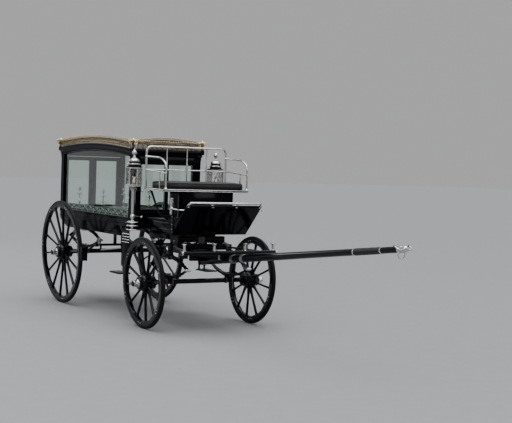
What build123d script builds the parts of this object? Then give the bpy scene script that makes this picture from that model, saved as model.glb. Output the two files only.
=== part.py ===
"""Horse-drawn hearse carriage with a glass-sided body, box seat and turning forecarriage.

Frame: +X is the direction of travel, +Y the driver's left, +Z up, in millimetres. The origin is on
the ground, midway between the rear finials and the pole tip, on the carriage's centre plane.
"""
import os
from math import cos, hypot, radians, sin, sqrt

from build123d import *

os.makedirs("parts", exist_ok=True)

# Driving dimensions
OVERALL_LENGTH = 6400.0
REAR_OVERHANG = 730.0
WHEELBASE = 2220.0
TRACK = 1272.0
CAMBER = 2.0
REAR_RADIUS = 610.0
FRONT_RADIUS = 474.0
BODY_HALF_WIDTH = 420.0
BODY_LENGTH = 2070.0
BODY_BEHIND_AXLE = 660.0
SILL_BOTTOM = 880.0
GLASS_BOTTOM = 1070.0
EAVES = 1778.0
ROOF_RISE = 62.0
CORNICE_HEIGHT = 76.0
SEAT_HEIGHT = 1450.0
SEAT_HALF_WIDTH = 500.0
POLE_TIP_HEIGHT = 1090.0

REAR_X = -OVERALL_LENGTH / 2 + REAR_OVERHANG
FRONT_X = REAR_X + WHEELBASE
BODY_REAR = REAR_X - BODY_BEHIND_AXLE
BODY_FRONT = BODY_REAR + BODY_LENGTH
BODY_MID = (BODY_REAR + BODY_FRONT) / 2
POLE_TIP = OVERALL_LENGTH / 2


def finish(part, name):
    """Label a finished piece and write it."""
    part.label = name
    export_step(part, f"parts/{name}.step")


def arch_z(x, length, base, rise):
    """Height of a segmental arch over the body's length, at x from the body's middle."""
    radius = ((length / 2) ** 2 + rise**2) / (2 * rise)
    return base + rise - radius + sqrt(radius**2 - x**2)


def arch_outline(half, low, base, rise):
    """Lines of a panel in the XZ plane about the body's middle: flat foot, arched head."""
    Polyline((-half, base), (-half, low), (half, low), (half, base))
    ThreePointArc((half, base), (0, base + rise), (-half, base))


def panel_plane(y):
    """Plane at the given y whose local x runs forward and local y runs up, facing -Y."""
    return Plane(origin=(BODY_MID, y, 0), x_dir=(1, 0, 0), z_dir=(0, -1, 0))


def cross_plane(x):
    """Plane at the given x whose local x runs to the left and local y runs up, facing +X."""
    return Plane(origin=(x, 0, 0), x_dir=(0, 1, 0), z_dir=(1, 0, 0))


def rod(points, radius, bend):
    """Round bar along a route of straight runs with bends of one radius."""
    with BuildPart() as bar:
        with BuildLine() as path:
            if len(points) > 2:
                FilletPolyline(*points, radius=bend)
            else:
                Line(*points)
        with BuildSketch(path.line ^ 0):
            Circle(radius)
        sweep()
    return bar.part


def turned(points, plane):
    """Solid of revolution about a plane's z axis; points are (radius, height along the axis)."""
    with BuildPart() as work:
        with BuildSketch(Plane.XZ):
            with BuildLine():
                Polyline((0, points[0][1]), *points, (0, points[-1][1]), (0, points[0][1]))
            make_face()
        revolve(axis=Axis.Z)
    return plane.location * work.part


# Lower body: a shallow rocker-shaped pan that carries the glazed frames
PANEL = 28.0
FLOOR = 30.0
SILL_SWEEP = 95.0
SILL_END = 240.0
BEAD = 9.0


def sill_outline(grow):
    """Side of the lower body: level foot that sweeps up at both ends."""
    half, low, top = BODY_LENGTH / 2 + grow, SILL_BOTTOM - grow, GLASS_BOTTOM
    foot, lift = half - SILL_END, low + SILL_SWEEP
    Polyline((-half, lift), (-half, top), (half, top), (half, lift))
    ThreePointArc((half, lift), (half - SILL_END * 0.62, low + SILL_SWEEP * 0.28), (foot, low))
    Line((foot, low), (-foot, low))
    ThreePointArc((-foot, low), (-half + SILL_END * 0.62, low + SILL_SWEEP * 0.28), (-half, lift))


with BuildPart() as lower_body:
    with BuildSketch(panel_plane(BODY_HALF_WIDTH)):
        with BuildLine():
            sill_outline(0)
        make_face()
    extrude(amount=2 * BODY_HALF_WIDTH)
    with BuildSketch(Plane.XY.offset(GLASS_BOTTOM - FLOOR)):
        with Locations((BODY_MID, 0)):
            Rectangle(BODY_LENGTH - 2 * PANEL, 2 * (BODY_HALF_WIDTH - PANEL))
    extrude(amount=-(GLASS_BOTTOM - SILL_BOTTOM), mode=Mode.SUBTRACT)
    for level in (GLASS_BOTTOM - 2 * BEAD, GLASS_BOTTOM - 60):
        with BuildSketch(Plane.XY.offset(level)):
            with Locations((BODY_MID, 0)):
                Rectangle(BODY_LENGTH + 2 * BEAD, 2 * (BODY_HALF_WIDTH + BEAD))
                Rectangle(BODY_LENGTH - 2, 2 * BODY_HALF_WIDTH - 2, mode=Mode.SUBTRACT)
        extrude(amount=BEAD)
finish(lower_body.part, "lower_body")

# Rear door sizes, which place the hinges on the side frames
DOOR_FOOT = 26.0
DOOR_GAP = 5.0
DOOR_STILE = 43.0
DOOR_RAIL = 46.0
DOOR_TOP = 1750.0
HINGE_RADIUS = 9.0
HINGE_PIN = 4.0
HINGE_OUT = 14.0
KNUCKLE = 60.0
FRAME_KNUCKLE = 26.0
RUNNING_CLEARANCE = 0.06
DOOR_BOTTOM = GLASS_BOTTOM + DOOR_FOOT + DOOR_GAP
DOOR_HEIGHT = DOOR_TOP - DOOR_BOTTOM
HINGE_LEVELS = (DOOR_BOTTOM + 110, DOOR_TOP - 110)

# Glazed side frames: pillars, sill rail and arched head rail
FRAME = 42.0
PILLAR = 88.0
FOOT_RAIL = 22.0
HEAD_RAIL = 14.0
GLASS = 8.0
SIDES = (("right", -1), ("left", 1))


def side_opening():
    """Outline of a side window about the body's middle."""
    half = BODY_LENGTH / 2 - PILLAR
    base = arch_z(half, BODY_LENGTH, EAVES - HEAD_RAIL, ROOF_RISE)
    arch_outline(half, GLASS_BOTTOM + FOOT_RAIL, base, EAVES - HEAD_RAIL + ROOF_RISE - base)


GLAZING_BEAD = 12.0
BEAD_PROUD = 4.0

with BuildPart() as side_frames:
    for _, side in SIDES:
        outer = side * BODY_HALF_WIDTH
        with BuildSketch(panel_plane(outer)):
            with BuildLine():
                arch_outline(BODY_LENGTH / 2, GLASS_BOTTOM, EAVES, ROOF_RISE)
            make_face()
            with BuildLine():
                side_opening()
            make_face(mode=Mode.SUBTRACT)
        extrude(amount=FRAME * side)
        with BuildSketch(panel_plane(outer)):
            with BuildLine():
                arch_outline(BODY_LENGTH / 2 - PILLAR + GLAZING_BEAD,
                             GLASS_BOTTOM + FOOT_RAIL - GLAZING_BEAD,
                             EAVES - HEAD_RAIL, ROOF_RISE)
            make_face()
            with BuildLine():
                side_opening()
            make_face(mode=Mode.SUBTRACT)
        extrude(amount=-BEAD_PROUD * side)
        hinge_y = side * (BODY_HALF_WIDTH - FRAME - DOOR_GAP / 2)
        for level in HINGE_LEVELS:
            for up in (-1, 1):
                z = level + up * (KNUCKLE / 2 + 0.6 + FRAME_KNUCKLE / 2)
                with Locations((BODY_REAR - HINGE_OUT, hinge_y, z)):
                    Cylinder(HINGE_RADIUS, FRAME_KNUCKLE)
                with Locations((BODY_REAR - HINGE_OUT / 2, hinge_y + side * 17, z)):
                    Box(HINGE_OUT, 30, FRAME_KNUCKLE)
            with Locations((BODY_REAR - HINGE_OUT, hinge_y, level)):
                Cylinder(HINGE_PIN, KNUCKLE + 2 * FRAME_KNUCKLE)
finish(side_frames.part, "side_frames")

# Front frame between the side frames, with two panes and a middle bar
FRONT_STILE = 58.0
FRONT_BAR = 36.0
FRONT_FOOT = 120.0
END_HEAD = EAVES - 1690.0
END_HALF = BODY_HALF_WIDTH - FRAME
PANE_WIDTH = END_HALF - FRONT_STILE - FRONT_BAR / 2
PANE_HEIGHT = EAVES - GLASS_BOTTOM - FRONT_FOOT - END_HEAD
PANE_MID_Y = FRONT_BAR / 2 + PANE_WIDTH / 2
PANE_MID_Z = GLASS_BOTTOM + FRONT_FOOT + PANE_HEIGHT / 2

with BuildPart() as front_frame:
    with BuildSketch(cross_plane(BODY_FRONT - FRAME)):
        with Locations((0, (EAVES + GLASS_BOTTOM) / 2)):
            Rectangle(2 * END_HALF, EAVES - GLASS_BOTTOM)
        with Locations((-PANE_MID_Y, PANE_MID_Z), (PANE_MID_Y, PANE_MID_Z)):
            Rectangle(PANE_WIDTH, PANE_HEIGHT, mode=Mode.SUBTRACT)
    extrude(amount=FRAME)
    with BuildSketch(cross_plane(BODY_FRONT)):
        with Locations((-PANE_MID_Y, PANE_MID_Z), (PANE_MID_Y, PANE_MID_Z)):
            Rectangle(PANE_WIDTH + 2 * GLAZING_BEAD, PANE_HEIGHT + 2 * GLAZING_BEAD)
            Rectangle(PANE_WIDTH, PANE_HEIGHT, mode=Mode.SUBTRACT)
    extrude(amount=BEAD_PROUD)
finish(front_frame.part, "front_frame")

# All the fixed panes: two sides and two at the front
with BuildPart() as body_glass:
    for side in (-1, 1):
        with BuildSketch(panel_plane(side * (BODY_HALF_WIDTH - FRAME / 2) + GLASS / 2)):
            with BuildLine():
                side_opening()
            make_face()
        extrude(amount=GLASS)
    with BuildSketch(cross_plane(BODY_FRONT - FRAME / 2 - GLASS / 2)):
        with Locations((-PANE_MID_Y, PANE_MID_Z), (PANE_MID_Y, PANE_MID_Z)):
            Rectangle(PANE_WIDTH, PANE_HEIGHT)
    extrude(amount=GLASS)
finish(body_glass.part, "body_glass")

# Rear doorway: a header and a threshold between the side frames, and a pair of glazed doors
DOOR_WIDTH = END_HALF - 1.5 * DOOR_GAP

with BuildPart() as rear_header:
    with BuildSketch(cross_plane(BODY_REAR)):
        with Locations((0, (EAVES + DOOR_TOP + DOOR_GAP) / 2)):
            Rectangle(2 * END_HALF, EAVES - DOOR_TOP - DOOR_GAP)
        with Locations((0, GLASS_BOTTOM + DOOR_FOOT / 2)):
            Rectangle(2 * END_HALF, DOOR_FOOT)
    extrude(amount=FRAME)
finish(rear_header.part, "rear_door_surround")

for side_name, side in SIDES:
    door_mid = side * (DOOR_GAP / 2 + DOOR_WIDTH / 2)
    pane = (DOOR_WIDTH - 2 * DOOR_STILE, DOOR_HEIGHT - 2 * DOOR_RAIL)
    hinge_y = side * (END_HALF - DOOR_GAP / 2)
    with BuildPart() as door:
        with BuildSketch(cross_plane(BODY_REAR)):
            with Locations((door_mid, DOOR_BOTTOM + DOOR_HEIGHT / 2)):
                Rectangle(DOOR_WIDTH, DOOR_HEIGHT)
                Rectangle(*pane, mode=Mode.SUBTRACT)
        extrude(amount=FRAME - 8)
        with BuildSketch(cross_plane(BODY_REAR)):
            with Locations((door_mid, DOOR_BOTTOM + DOOR_HEIGHT / 2)):
                Rectangle(pane[0] + 2 * GLAZING_BEAD, pane[1] + 2 * GLAZING_BEAD)
                Rectangle(*pane, mode=Mode.SUBTRACT)
        extrude(amount=-BEAD_PROUD)
        for level in HINGE_LEVELS:
            with Locations((BODY_REAR - HINGE_OUT, hinge_y, level)):
                Cylinder(HINGE_RADIUS, KNUCKLE)
            with Locations((BODY_REAR - HINGE_OUT / 2, hinge_y - side * 16, level)):
                Box(HINGE_OUT, 32, KNUCKLE - 10)
            with BuildSketch(Plane((BODY_REAR - HINGE_OUT, hinge_y, level - KNUCKLE))):
                Circle(HINGE_PIN + RUNNING_CLEARANCE)
            extrude(amount=2 * KNUCKLE, mode=Mode.SUBTRACT)
    finish(door.part, f"{side_name}_rear_door")
    with BuildPart() as door_glass:
        with BuildSketch(cross_plane(BODY_REAR + FRAME / 2 - GLASS / 2)):
            with Locations((door_mid, DOOR_BOTTOM + DOOR_HEIGHT / 2)):
                Rectangle(*pane)
        extrude(amount=GLASS)
    finish(door_glass.part, f"{side_name}_rear_door_glass")

# Door handle on the right-hand door's meeting stile
HANDLE_Z = GLASS_BOTTOM + 330.0
HANDLE_Y = -18.0
with BuildPart() as handle:
    with BuildSketch(cross_plane(BODY_REAR)):
        with Locations((HANDLE_Y, HANDLE_Z)):
            Circle(12)
    extrude(amount=-5)
    with BuildSketch(cross_plane(BODY_REAR - 5)):
        with Locations((HANDLE_Y, HANDLE_Z)):
            Circle(6)
    extrude(amount=-24)
    with BuildSketch(cross_plane(BODY_REAR - 24)):
        with Locations((HANDLE_Y, HANDLE_Z - 30)):
            SlotOverall(84, 14, rotation=90)
    extrude(amount=-10)
finish(handle.part, "rear_door_handle")

# Roof: a two-step cornice over a hollow arched roof
CORNICE_STEPS = ((0.0, 0.46, 12.0), (0.46, 1.0, 30.0))
OVERHANG = CORNICE_STEPS[-1][2]
ROOF_LENGTH = BODY_LENGTH + 2 * OVERHANG
ROOF_TOP = EAVES + CORNICE_HEIGHT
ROOF_SKIN = 26.0
ROOF_EDGE = 46.0
PLINTH = 38.0
PLINTH_TOP = ROOF_TOP + 14.0

with BuildPart() as roof:
    for low, high, overhang in CORNICE_STEPS:
        with BuildSketch(panel_plane(BODY_HALF_WIDTH + overhang)):
            half = BODY_LENGTH / 2 + overhang
            base, top = EAVES + low * CORNICE_HEIGHT, EAVES + high * CORNICE_HEIGHT
            with BuildLine():
                Line((-half, base), (-half, top))
                ThreePointArc((-half, top), (0, top + ROOF_RISE), (half, top))
                Line((half, top), (half, base))
                ThreePointArc((half, base), (0, base + ROOF_RISE), (-half, base))
            make_face()
        extrude(amount=2 * (BODY_HALF_WIDTH + overhang))
    with BuildSketch(panel_plane(BODY_HALF_WIDTH - ROOF_EDGE)):
        half = BODY_LENGTH / 2 - ROOF_EDGE
        low, rise = EAVES - 40, ROOF_RISE
        top = arch_z(half, BODY_LENGTH, EAVES + CORNICE_HEIGHT - ROOF_SKIN, rise)
        with BuildLine():
            arch_outline(half, low, top, EAVES + CORNICE_HEIGHT - ROOF_SKIN + rise - top)
        make_face()
    extrude(amount=2 * (BODY_HALF_WIDTH - ROOF_EDGE), mode=Mode.SUBTRACT)
    for x in (BODY_FRONT - FRAME, BODY_REAR):
        with BuildSketch(cross_plane(x)):
            with Locations((0, EAVES + 20)):
                Rectangle(2 * END_HALF, 40)
        extrude(amount=FRAME)
    for x in (-1, 1):
        for y in (-1, 1):
            corner = (BODY_MID + x * (ROOF_LENGTH - PLINTH) / 2,
                      y * (BODY_HALF_WIDTH + OVERHANG - PLINTH / 2))
            with Locations((*corner, (PLINTH_TOP + ROOF_TOP - 20) / 2)):
                Box(PLINTH, PLINTH, PLINTH_TOP - ROOF_TOP + 20)
finish(roof.part, "roof")

# Pierced gallery round the roof: beaded rails with a row of round-headed openings
GALLERY_HEIGHT = 103.0
GALLERY_THICK = 5.0
GALLERY_INSET = 4.0
GALLERY_PITCH = 64.0
GALLERY_HOLE = 21.0
FINIAL_REACH = REAR_OVERHANG - BODY_BEHIND_AXLE - OVERHANG
FINIAL_RADIUS = PLINTH / 2 + FINIAL_REACH
GALLERY_END = PLINTH / 2 + FINIAL_RADIUS + 4


def gallery_holes(half):
    """Centres of the openings along one run of the gallery."""
    count = int((2 * half - 60) / GALLERY_PITCH)
    return [(i - (count - 1) / 2) * GALLERY_PITCH for i in range(count)]


with BuildPart() as gallery:
    edge = BODY_HALF_WIDTH + OVERHANG - GALLERY_INSET
    half = BODY_LENGTH / 2 + OVERHANG - GALLERY_END
    foot = arch_z(half, ROOF_LENGTH, ROOF_TOP, ROOF_RISE)
    crown = ROOF_TOP + ROOF_RISE
    for start in (edge, -edge + GALLERY_THICK):
        with BuildSketch(panel_plane(start)):
            with BuildLine():
                Line((-half, foot), (-half, foot + GALLERY_HEIGHT))
                ThreePointArc((-half, foot + GALLERY_HEIGHT), (0, crown + GALLERY_HEIGHT),
                              (half, foot + GALLERY_HEIGHT))
                Line((half, foot + GALLERY_HEIGHT), (half, foot))
                ThreePointArc((half, foot), (0, crown), (-half, foot))
            make_face()
            for x in gallery_holes(half):
                z = arch_z(x, ROOF_LENGTH, ROOF_TOP, ROOF_RISE) + GALLERY_HEIGHT / 2
                with Locations((x, z)):
                    SlotOverall(GALLERY_HEIGHT - 22, 2 * GALLERY_HOLE, rotation=90, mode=Mode.SUBTRACT)
        extrude(amount=GALLERY_THICK)
    cross_half = BODY_HALF_WIDTH + OVERHANG - GALLERY_END
    end = BODY_LENGTH / 2 + OVERHANG - GALLERY_INSET
    foot = arch_z(end - GALLERY_THICK, ROOF_LENGTH, ROOF_TOP, ROOF_RISE)
    for start in (BODY_MID + end - GALLERY_THICK, BODY_MID - end):
        with BuildSketch(cross_plane(start)):
            with Locations((0, foot + GALLERY_HEIGHT / 2)):
                Rectangle(2 * cross_half, GALLERY_HEIGHT)
            for y in gallery_holes(cross_half):
                with Locations((y, foot + GALLERY_HEIGHT / 2)):
                    SlotOverall(GALLERY_HEIGHT - 22, 2 * GALLERY_HOLE, rotation=90, mode=Mode.SUBTRACT)
        extrude(amount=GALLERY_THICK)
finish(gallery.part, "roof_gallery")

# Corner finials: flared cups that stand out from the cornice corners
FINIAL_PROFILE = ((17, 0), (12, 18), (FINIAL_RADIUS, 72), (FINIAL_RADIUS, 78), (22, 84), (10, 104))
with BuildPart() as finials:
    for x in (-1, 1):
        for y in (-1, 1):
            corner = (BODY_MID + x * (ROOF_LENGTH - PLINTH) / 2,
                      y * (BODY_HALF_WIDTH + OVERHANG - PLINTH / 2))
            add(turned(FINIAL_PROFILE, Plane((*corner, PLINTH_TOP))))
finish(finials.part, "corner_finials")

# Bier deck on the floor, with its chrome pins
DECK_TOP = 1130.0
DECK_HALF = 262.0
PIN_RAIL = (268.0, 332.0)
DECK_ENDS = 60.0
SOCKET_X = 560.0
SOCKET_Y = 150.0
SOCKET_RADIUS = 9.0
with BuildPart() as bier_deck:
    with Locations((BODY_MID, 0, DECK_TOP - 11)):
        Box(BODY_LENGTH - 2 * DECK_ENDS, 2 * DECK_HALF, 22)
    for y in (-1, 1):
        with Locations((BODY_MID, y * (DECK_HALF - 60), (DECK_TOP - 22 + GLASS_BOTTOM) / 2)):
            Box(BODY_LENGTH - 2 * DECK_ENDS - 80, 50, DECK_TOP - 22 - GLASS_BOTTOM)
    for x in (-1, 1):
        for y in (-1, 1):
            with BuildSketch(Plane((BODY_MID + x * SOCKET_X, y * SOCKET_Y, DECK_TOP))):
                Circle(SOCKET_RADIUS)
            extrude(amount=-22, mode=Mode.SUBTRACT)
finish(bier_deck.part, "bier_deck")

PIN_HEIGHT = 250.0
PIN_ROWS = (-0.34, 0.0, 0.34)
with BuildPart() as bier_pins:
    for y in (-1, 1):
        with Locations((BODY_MID, y * sum(PIN_RAIL) / 2, (DECK_TOP + GLASS_BOTTOM) / 2)):
            Box(BODY_LENGTH - 2 * DECK_ENDS, PIN_RAIL[1] - PIN_RAIL[0], DECK_TOP - GLASS_BOTTOM)
    for share in PIN_ROWS:
        for y in (-1, 1):
            profile = ((20, 0), (20, 6), (8, 12), (8, PIN_HEIGHT - 34), (13, PIN_HEIGHT - 26),
                       (13, PIN_HEIGHT - 8), (6, PIN_HEIGHT))
            add(turned(profile, Plane((BODY_MID + share * BODY_LENGTH, y * sum(PIN_RAIL) / 2, DECK_TOP))))
finish(bier_pins.part, "bier_pins")

# Carriage lamps beside the front pillars
LAMP_X = REAR_X + 1610.0
LAMP_Y = 505.0
LAMP_FOOT = 970.0
LAMP_GLASS = (1462.0, 1652.0)
LAMP_CORNER = 95.0
LAMP_BRACKETS = (149.0, 433.0)
LAMP_STEM = ((5, 0), (62, 8), (66, 14), (62, 20), (18, 26), (18, 48), (62, 51), (66, 57), (62, 63),
             (18, 68), (18, 86), (62, 89), (66, 95), (62, 101), (20, 107), (14, 118), (24, 134),
             (28, 149), (24, 164), (15, 176), (21, 190), (21, 440), (40, 447), (40, 455), (28, 463),
             (60, 475), (60, 483))
LAMP_HEAD = ((92, 0), (92, 6), (66, 10), (66, 24), (70, 28), (70, 40), (56, 44), (56, 60), (61, 66),
             (61, 72), (50, 86), (28, 100), (14, 108), (12, 120), (12, 132), (24, 142), (28, 158),
             (22, 172), (10, 186), (4, 205))
with BuildPart() as lamps:
    for side in (-1, 1):
        foot_plane = Plane((LAMP_X, side * LAMP_Y, LAMP_FOOT))
        add(turned(LAMP_STEM, foot_plane))
        add(turned(LAMP_HEAD, Plane((LAMP_X, side * LAMP_Y, LAMP_GLASS[1] + 6))))
        for z, thick in ((LAMP_FOOT + 483, LAMP_GLASS[0] - LAMP_FOOT - 483), (LAMP_GLASS[1], 6)):
            with BuildSketch(Plane((LAMP_X, side * LAMP_Y, z))):
                RegularPolygon(LAMP_CORNER, 6)
            extrude(amount=thick)
        for k in range(6):
            post_x = LAMP_X + (LAMP_CORNER - 7) * cos(radians(60 * k))
            post_y = side * LAMP_Y + (LAMP_CORNER - 7) * sin(radians(60 * k))
            with Locations((post_x, post_y, sum(LAMP_GLASS) / 2)):
                Cylinder(6, LAMP_GLASS[1] - LAMP_GLASS[0])
        for level in LAMP_BRACKETS:
            z = LAMP_FOOT + level
            bracket_y = side * (BODY_HALF_WIDTH - 20)
            with Locations((LAMP_X, side * LAMP_Y, z)):
                Cylinder(26, 14)
            add(rod([(BODY_FRONT, bracket_y, z), (LAMP_X, bracket_y, z), (LAMP_X, side * (LAMP_Y - 10), z)],
                    8, 30))
finish(lamps.part, "carriage_lamps")

with BuildPart() as lamp_glass:
    for side in (-1, 1):
        with BuildSketch(Plane((LAMP_X, side * LAMP_Y, LAMP_GLASS[0]))):
            RegularPolygon(LAMP_CORNER - 16, 6)
            RegularPolygon(LAMP_CORNER - 22, 6, mode=Mode.SUBTRACT)
        extrude(amount=LAMP_GLASS[1] - LAMP_GLASS[0])
finish(lamp_glass.part, "lamp_glasses")

# Boot under the driver's feet, with its raked toe board
BOOT_HALF = 320.0
BOOT_TOP = 1120.0
BEARER = 88.0
TURN_Z = 880.0
PLATE = 12.0
PLATE_GAP = 0.5
BEARER_FOOT = TURN_Z + PLATE_GAP + PLATE
BOOT_BOTTOM = BEARER_FOOT + BEARER
BOOT_REAR = BODY_FRONT + BEAD
TOE_FOOT = (REAR_X + 2370.0, 1000.0)
TOE_TOP = (REAR_X + 2700.0, 1300.0)
TOE_HALF = 440.0
TOE_THICK = 24.0
TOE_RAIL_LIFT = 52.0
boot_front = TOE_FOOT[0]

BOOT_SWEEP = 190.0
BOOT_WALL = 20.0

with BuildPart() as boot:
    with BuildSketch(Plane(origin=(0, BOOT_HALF, 0), x_dir=(1, 0, 0), z_dir=(0, -1, 0))):
        with BuildLine():
            nose = BOOT_BOTTOM + 0.5 * (BOOT_TOP - BOOT_BOTTOM)
            Polyline((boot_front, nose), (boot_front, BOOT_TOP), (BOOT_REAR, BOOT_TOP),
                     (BOOT_REAR, BOOT_BOTTOM), (boot_front - BOOT_SWEEP, BOOT_BOTTOM))
            ThreePointArc((boot_front - BOOT_SWEEP, BOOT_BOTTOM),
                          (boot_front - BOOT_SWEEP * 0.36, BOOT_BOTTOM + 18), (boot_front, nose))
        make_face()
    extrude(amount=2 * BOOT_HALF)
    with Locations(((BOOT_REAR + boot_front - BOOT_SWEEP) / 2, 0, (BOOT_TOP + BOOT_BOTTOM) / 2)):
        Box(boot_front - BOOT_SWEEP - BOOT_REAR, 2 * (BOOT_HALF - BOOT_WALL),
            BOOT_TOP - BOOT_BOTTOM - 2 * BOOT_WALL, mode=Mode.SUBTRACT)
    for y in (-1, 1):
        with Locations(((BOOT_REAR + boot_front) / 2, y * (BOOT_HALF + 4), BOOT_TOP - 8)):
            Box(boot_front - BOOT_REAR, 8, 16)
finish(boot.part, "boot")

with BuildPart() as toe_board:
    run = (TOE_TOP[0] - TOE_FOOT[0], TOE_TOP[1] - TOE_FOOT[1])
    slope = hypot(*run)
    shift = (TOE_THICK * run[1] / slope, -TOE_THICK * run[0] / slope)
    with BuildSketch(Plane(origin=(0, TOE_HALF, 0), x_dir=(1, 0, 0), z_dir=(0, -1, 0))):
        with BuildLine():
            Polyline(TOE_FOOT, TOE_TOP, (TOE_TOP[0] + shift[0], TOE_TOP[1] + shift[1]),
                     (TOE_FOOT[0] + shift[0] + 30, TOE_FOOT[1] + shift[1]), TOE_FOOT)
        make_face()
    extrude(amount=2 * TOE_HALF)
finish(toe_board.part, "toe_board")

# Box seat on its riser and irons
SEAT_BACK = REAR_X + 1880.0
SEAT_FRONT = REAR_X + 2350.0
RISER = (REAR_X + 2100.0, REAR_X + 2330.0)
with BuildPart() as seat_frame:
    with Locations(((SEAT_BACK + SEAT_FRONT) / 2, 0, SEAT_HEIGHT - 14)):
        Box(SEAT_FRONT - SEAT_BACK, 2 * SEAT_HALF_WIDTH, 28)
    for y in (-1, 1):
        with Locations((sum(RISER) / 2, y * (BOOT_HALF - 14), (SEAT_HEIGHT - 28 + BOOT_TOP) / 2)):
            Box(RISER[1] - RISER[0], 28, SEAT_HEIGHT - 28 - BOOT_TOP)
    with Locations((RISER[1] - 14, 0, (SEAT_HEIGHT - 28 + BOOT_TOP) / 2)):
        Box(28, 2 * BOOT_HALF, SEAT_HEIGHT - 28 - BOOT_TOP)
    for y in (-1, 1):
        add(rod([(REAR_X + 1930, y * 455, SEAT_HEIGHT - 20), (REAR_X + 2060, y * 455, 1270),
                 (REAR_X + 2110, y * 425, 1160), (REAR_X + 2190, y * (BOOT_HALF - 20), 1150)], 12, 40))
finish(seat_frame.part, "seat_frame")

CUSHION = 85.0
with BuildPart() as cushion:
    with Locations(((SEAT_BACK + SEAT_FRONT) / 2 + 10, 0, SEAT_HEIGHT + CUSHION / 2)):
        Box(SEAT_FRONT - SEAT_BACK - 40, 2 * SEAT_HALF_WIDTH - 60, CUSHION)
    fillet(cushion.edges().filter_by(Axis.Z), 40)
    fillet(cushion.faces().sort_by(Axis.Z)[-1].edges(), 24)
finish(cushion.part, "seat_cushion")

# Bright rails: seat back and arms, and the rail over the toe board
RAIL = 11.0
BACK_TOP = 1885.0
ARM = 1780.0
with BuildPart() as seat_rails:
    back_x = SEAT_BACK - 14
    ends = SEAT_HALF_WIDTH - 14
    add(rod([(back_x, -ends, SEAT_HEIGHT - 28), (back_x, -ends, BACK_TOP), (back_x, ends, BACK_TOP),
             (back_x, ends, SEAT_HEIGHT - 28)], RAIL, 60))
    for y in (-1, 1):
        arm_y = y * ends
        add(rod([(back_x, arm_y, ARM), (SEAT_FRONT - 150, arm_y, ARM - 8),
                 (SEAT_FRONT - 20, arm_y, ARM - 70), (SEAT_FRONT - 20, arm_y, SEAT_HEIGHT)], RAIL - 1, 55))
        add(rod([(back_x, arm_y, 1640), (SEAT_FRONT - 20, arm_y, 1612)], RAIL - 4, 1))
        with Locations((SEAT_BACK - 9, arm_y, SEAT_HEIGHT - 14)):
            Box(18, 28, 26)
    for y in (-0.5, 0, 0.5):
        add(rod([(back_x, y * ends, SEAT_HEIGHT - 28), (back_x, y * ends, BACK_TOP)], RAIL - 4, 1))
    with Locations((back_x + 7, 0, SEAT_HEIGHT - 14)):
        Box(14, 2 * ends, 16)
finish(seat_rails.part, "seat_rails")

with BuildPart() as toe_rail:
    foot_x, foot_z = TOE_TOP[0] + shift[0] / 2, TOE_TOP[1] + shift[1] / 2
    rail_x, rail_z = foot_x + TOE_RAIL_LIFT * run[0] / slope, foot_z + TOE_RAIL_LIFT * run[1] / slope
    ends = TOE_HALF - 20
    add(rod([(foot_x, -ends, foot_z), (rail_x, -ends, rail_z), (rail_x, ends, rail_z),
             (foot_x, ends, foot_z)], RAIL, 24))
    for y in (-1, 1):
        horn = (REAR_X + 2478, y * 488, 1258)
        add(rod([(REAR_X + 2662, y * TOE_HALF, 1250), (REAR_X + 2662, y * 488, 1250), horn], 8, 30))
        ball = [(15 * cos(radians(a)), 15 * sin(radians(a))) for a in range(-75, 90, 30)]
        add(turned(ball, Plane(horn)))
finish(toe_rail.part, "toe_rail")

# Whip socket on the right-hand end of the toe board, open at the top
WHIP_X = REAR_X + 2425.0
WHIP_Y = -462.0
WHIP_Z = (1205.0, 1360.0)
WHIP_BORE = 13.0
with BuildPart() as whip_socket:
    profile = ((10, -14), (17, 0), (17, 30), (21, 36), (21, 46), (17, 52), (18, 138), (24, 146), (24, 155))
    add(turned(profile, Plane((WHIP_X, WHIP_Y, WHIP_Z[0]))))
    with Locations((WHIP_X, -TOE_HALF - 5, 1142)):
        Box(34, 10, 240)
    with BuildSketch(Plane((WHIP_X, WHIP_Y, WHIP_Z[1]))):
        Circle(WHIP_BORE)
    extrude(amount=-130, mode=Mode.SUBTRACT)
    with BuildSketch(Plane((WHIP_X, WHIP_Y, WHIP_Z[1] - 132))):
        Circle(WHIP_BORE + 1)
    extrude(amount=2, mode=Mode.SUBTRACT)
finish(whip_socket.part, "whip_socket")

# Hanging steps between the wheels: a rounded tread on two irons behind an upright plate
STEP_X = (REAR_X + 1270.0, REAR_X + 1540.0)
STEP_Y = (465.0, 620.0)
STEP_TREAD = 500.0
STEP_PLATE = (REAR_X + 1310.0, REAR_X + 1500.0)
STEP_PLATE_Z = (560.0, 950.0)
with BuildPart() as hanging_steps:
    for side in (-1, 1):
        with BuildSketch(Plane.XY.offset(STEP_TREAD - 8)):
            with Locations((sum(STEP_X) / 2, side * sum(STEP_Y) / 2)):
                RectangleRounded(STEP_X[1] - STEP_X[0], STEP_Y[1] - STEP_Y[0], 34)
        extrude(amount=16)
        hang_y = side * (STEP_Y[0] + 12)
        for x in (STEP_PLATE[0] + 40, STEP_PLATE[1] - 30):
            lift = SILL_BOTTOM + 110
            add(rod([(x, hang_y, STEP_TREAD), (x, hang_y, lift - 90), (x - 100, hang_y, lift),
                     (x - 100, side * BODY_HALF_WIDTH, lift)], 11, 25))
        with BuildSketch(Plane(origin=(0, hang_y + 12, 0), x_dir=(1, 0, 0), z_dir=(0, -1, 0))):
            with Locations((sum(STEP_PLATE) / 2, sum(STEP_PLATE_Z) / 2)):
                RectangleRounded(STEP_PLATE[1] - STEP_PLATE[0], STEP_PLATE_Z[1] - STEP_PLATE_Z[0], 24)
        extrude(amount=24 if side < 0 else 8)
finish(hanging_steps.part, "hanging_steps")

# Elliptic springs
LEAF = 8.0
LEAVES = 4
SPRING_WIDTH = 46.0


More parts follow.
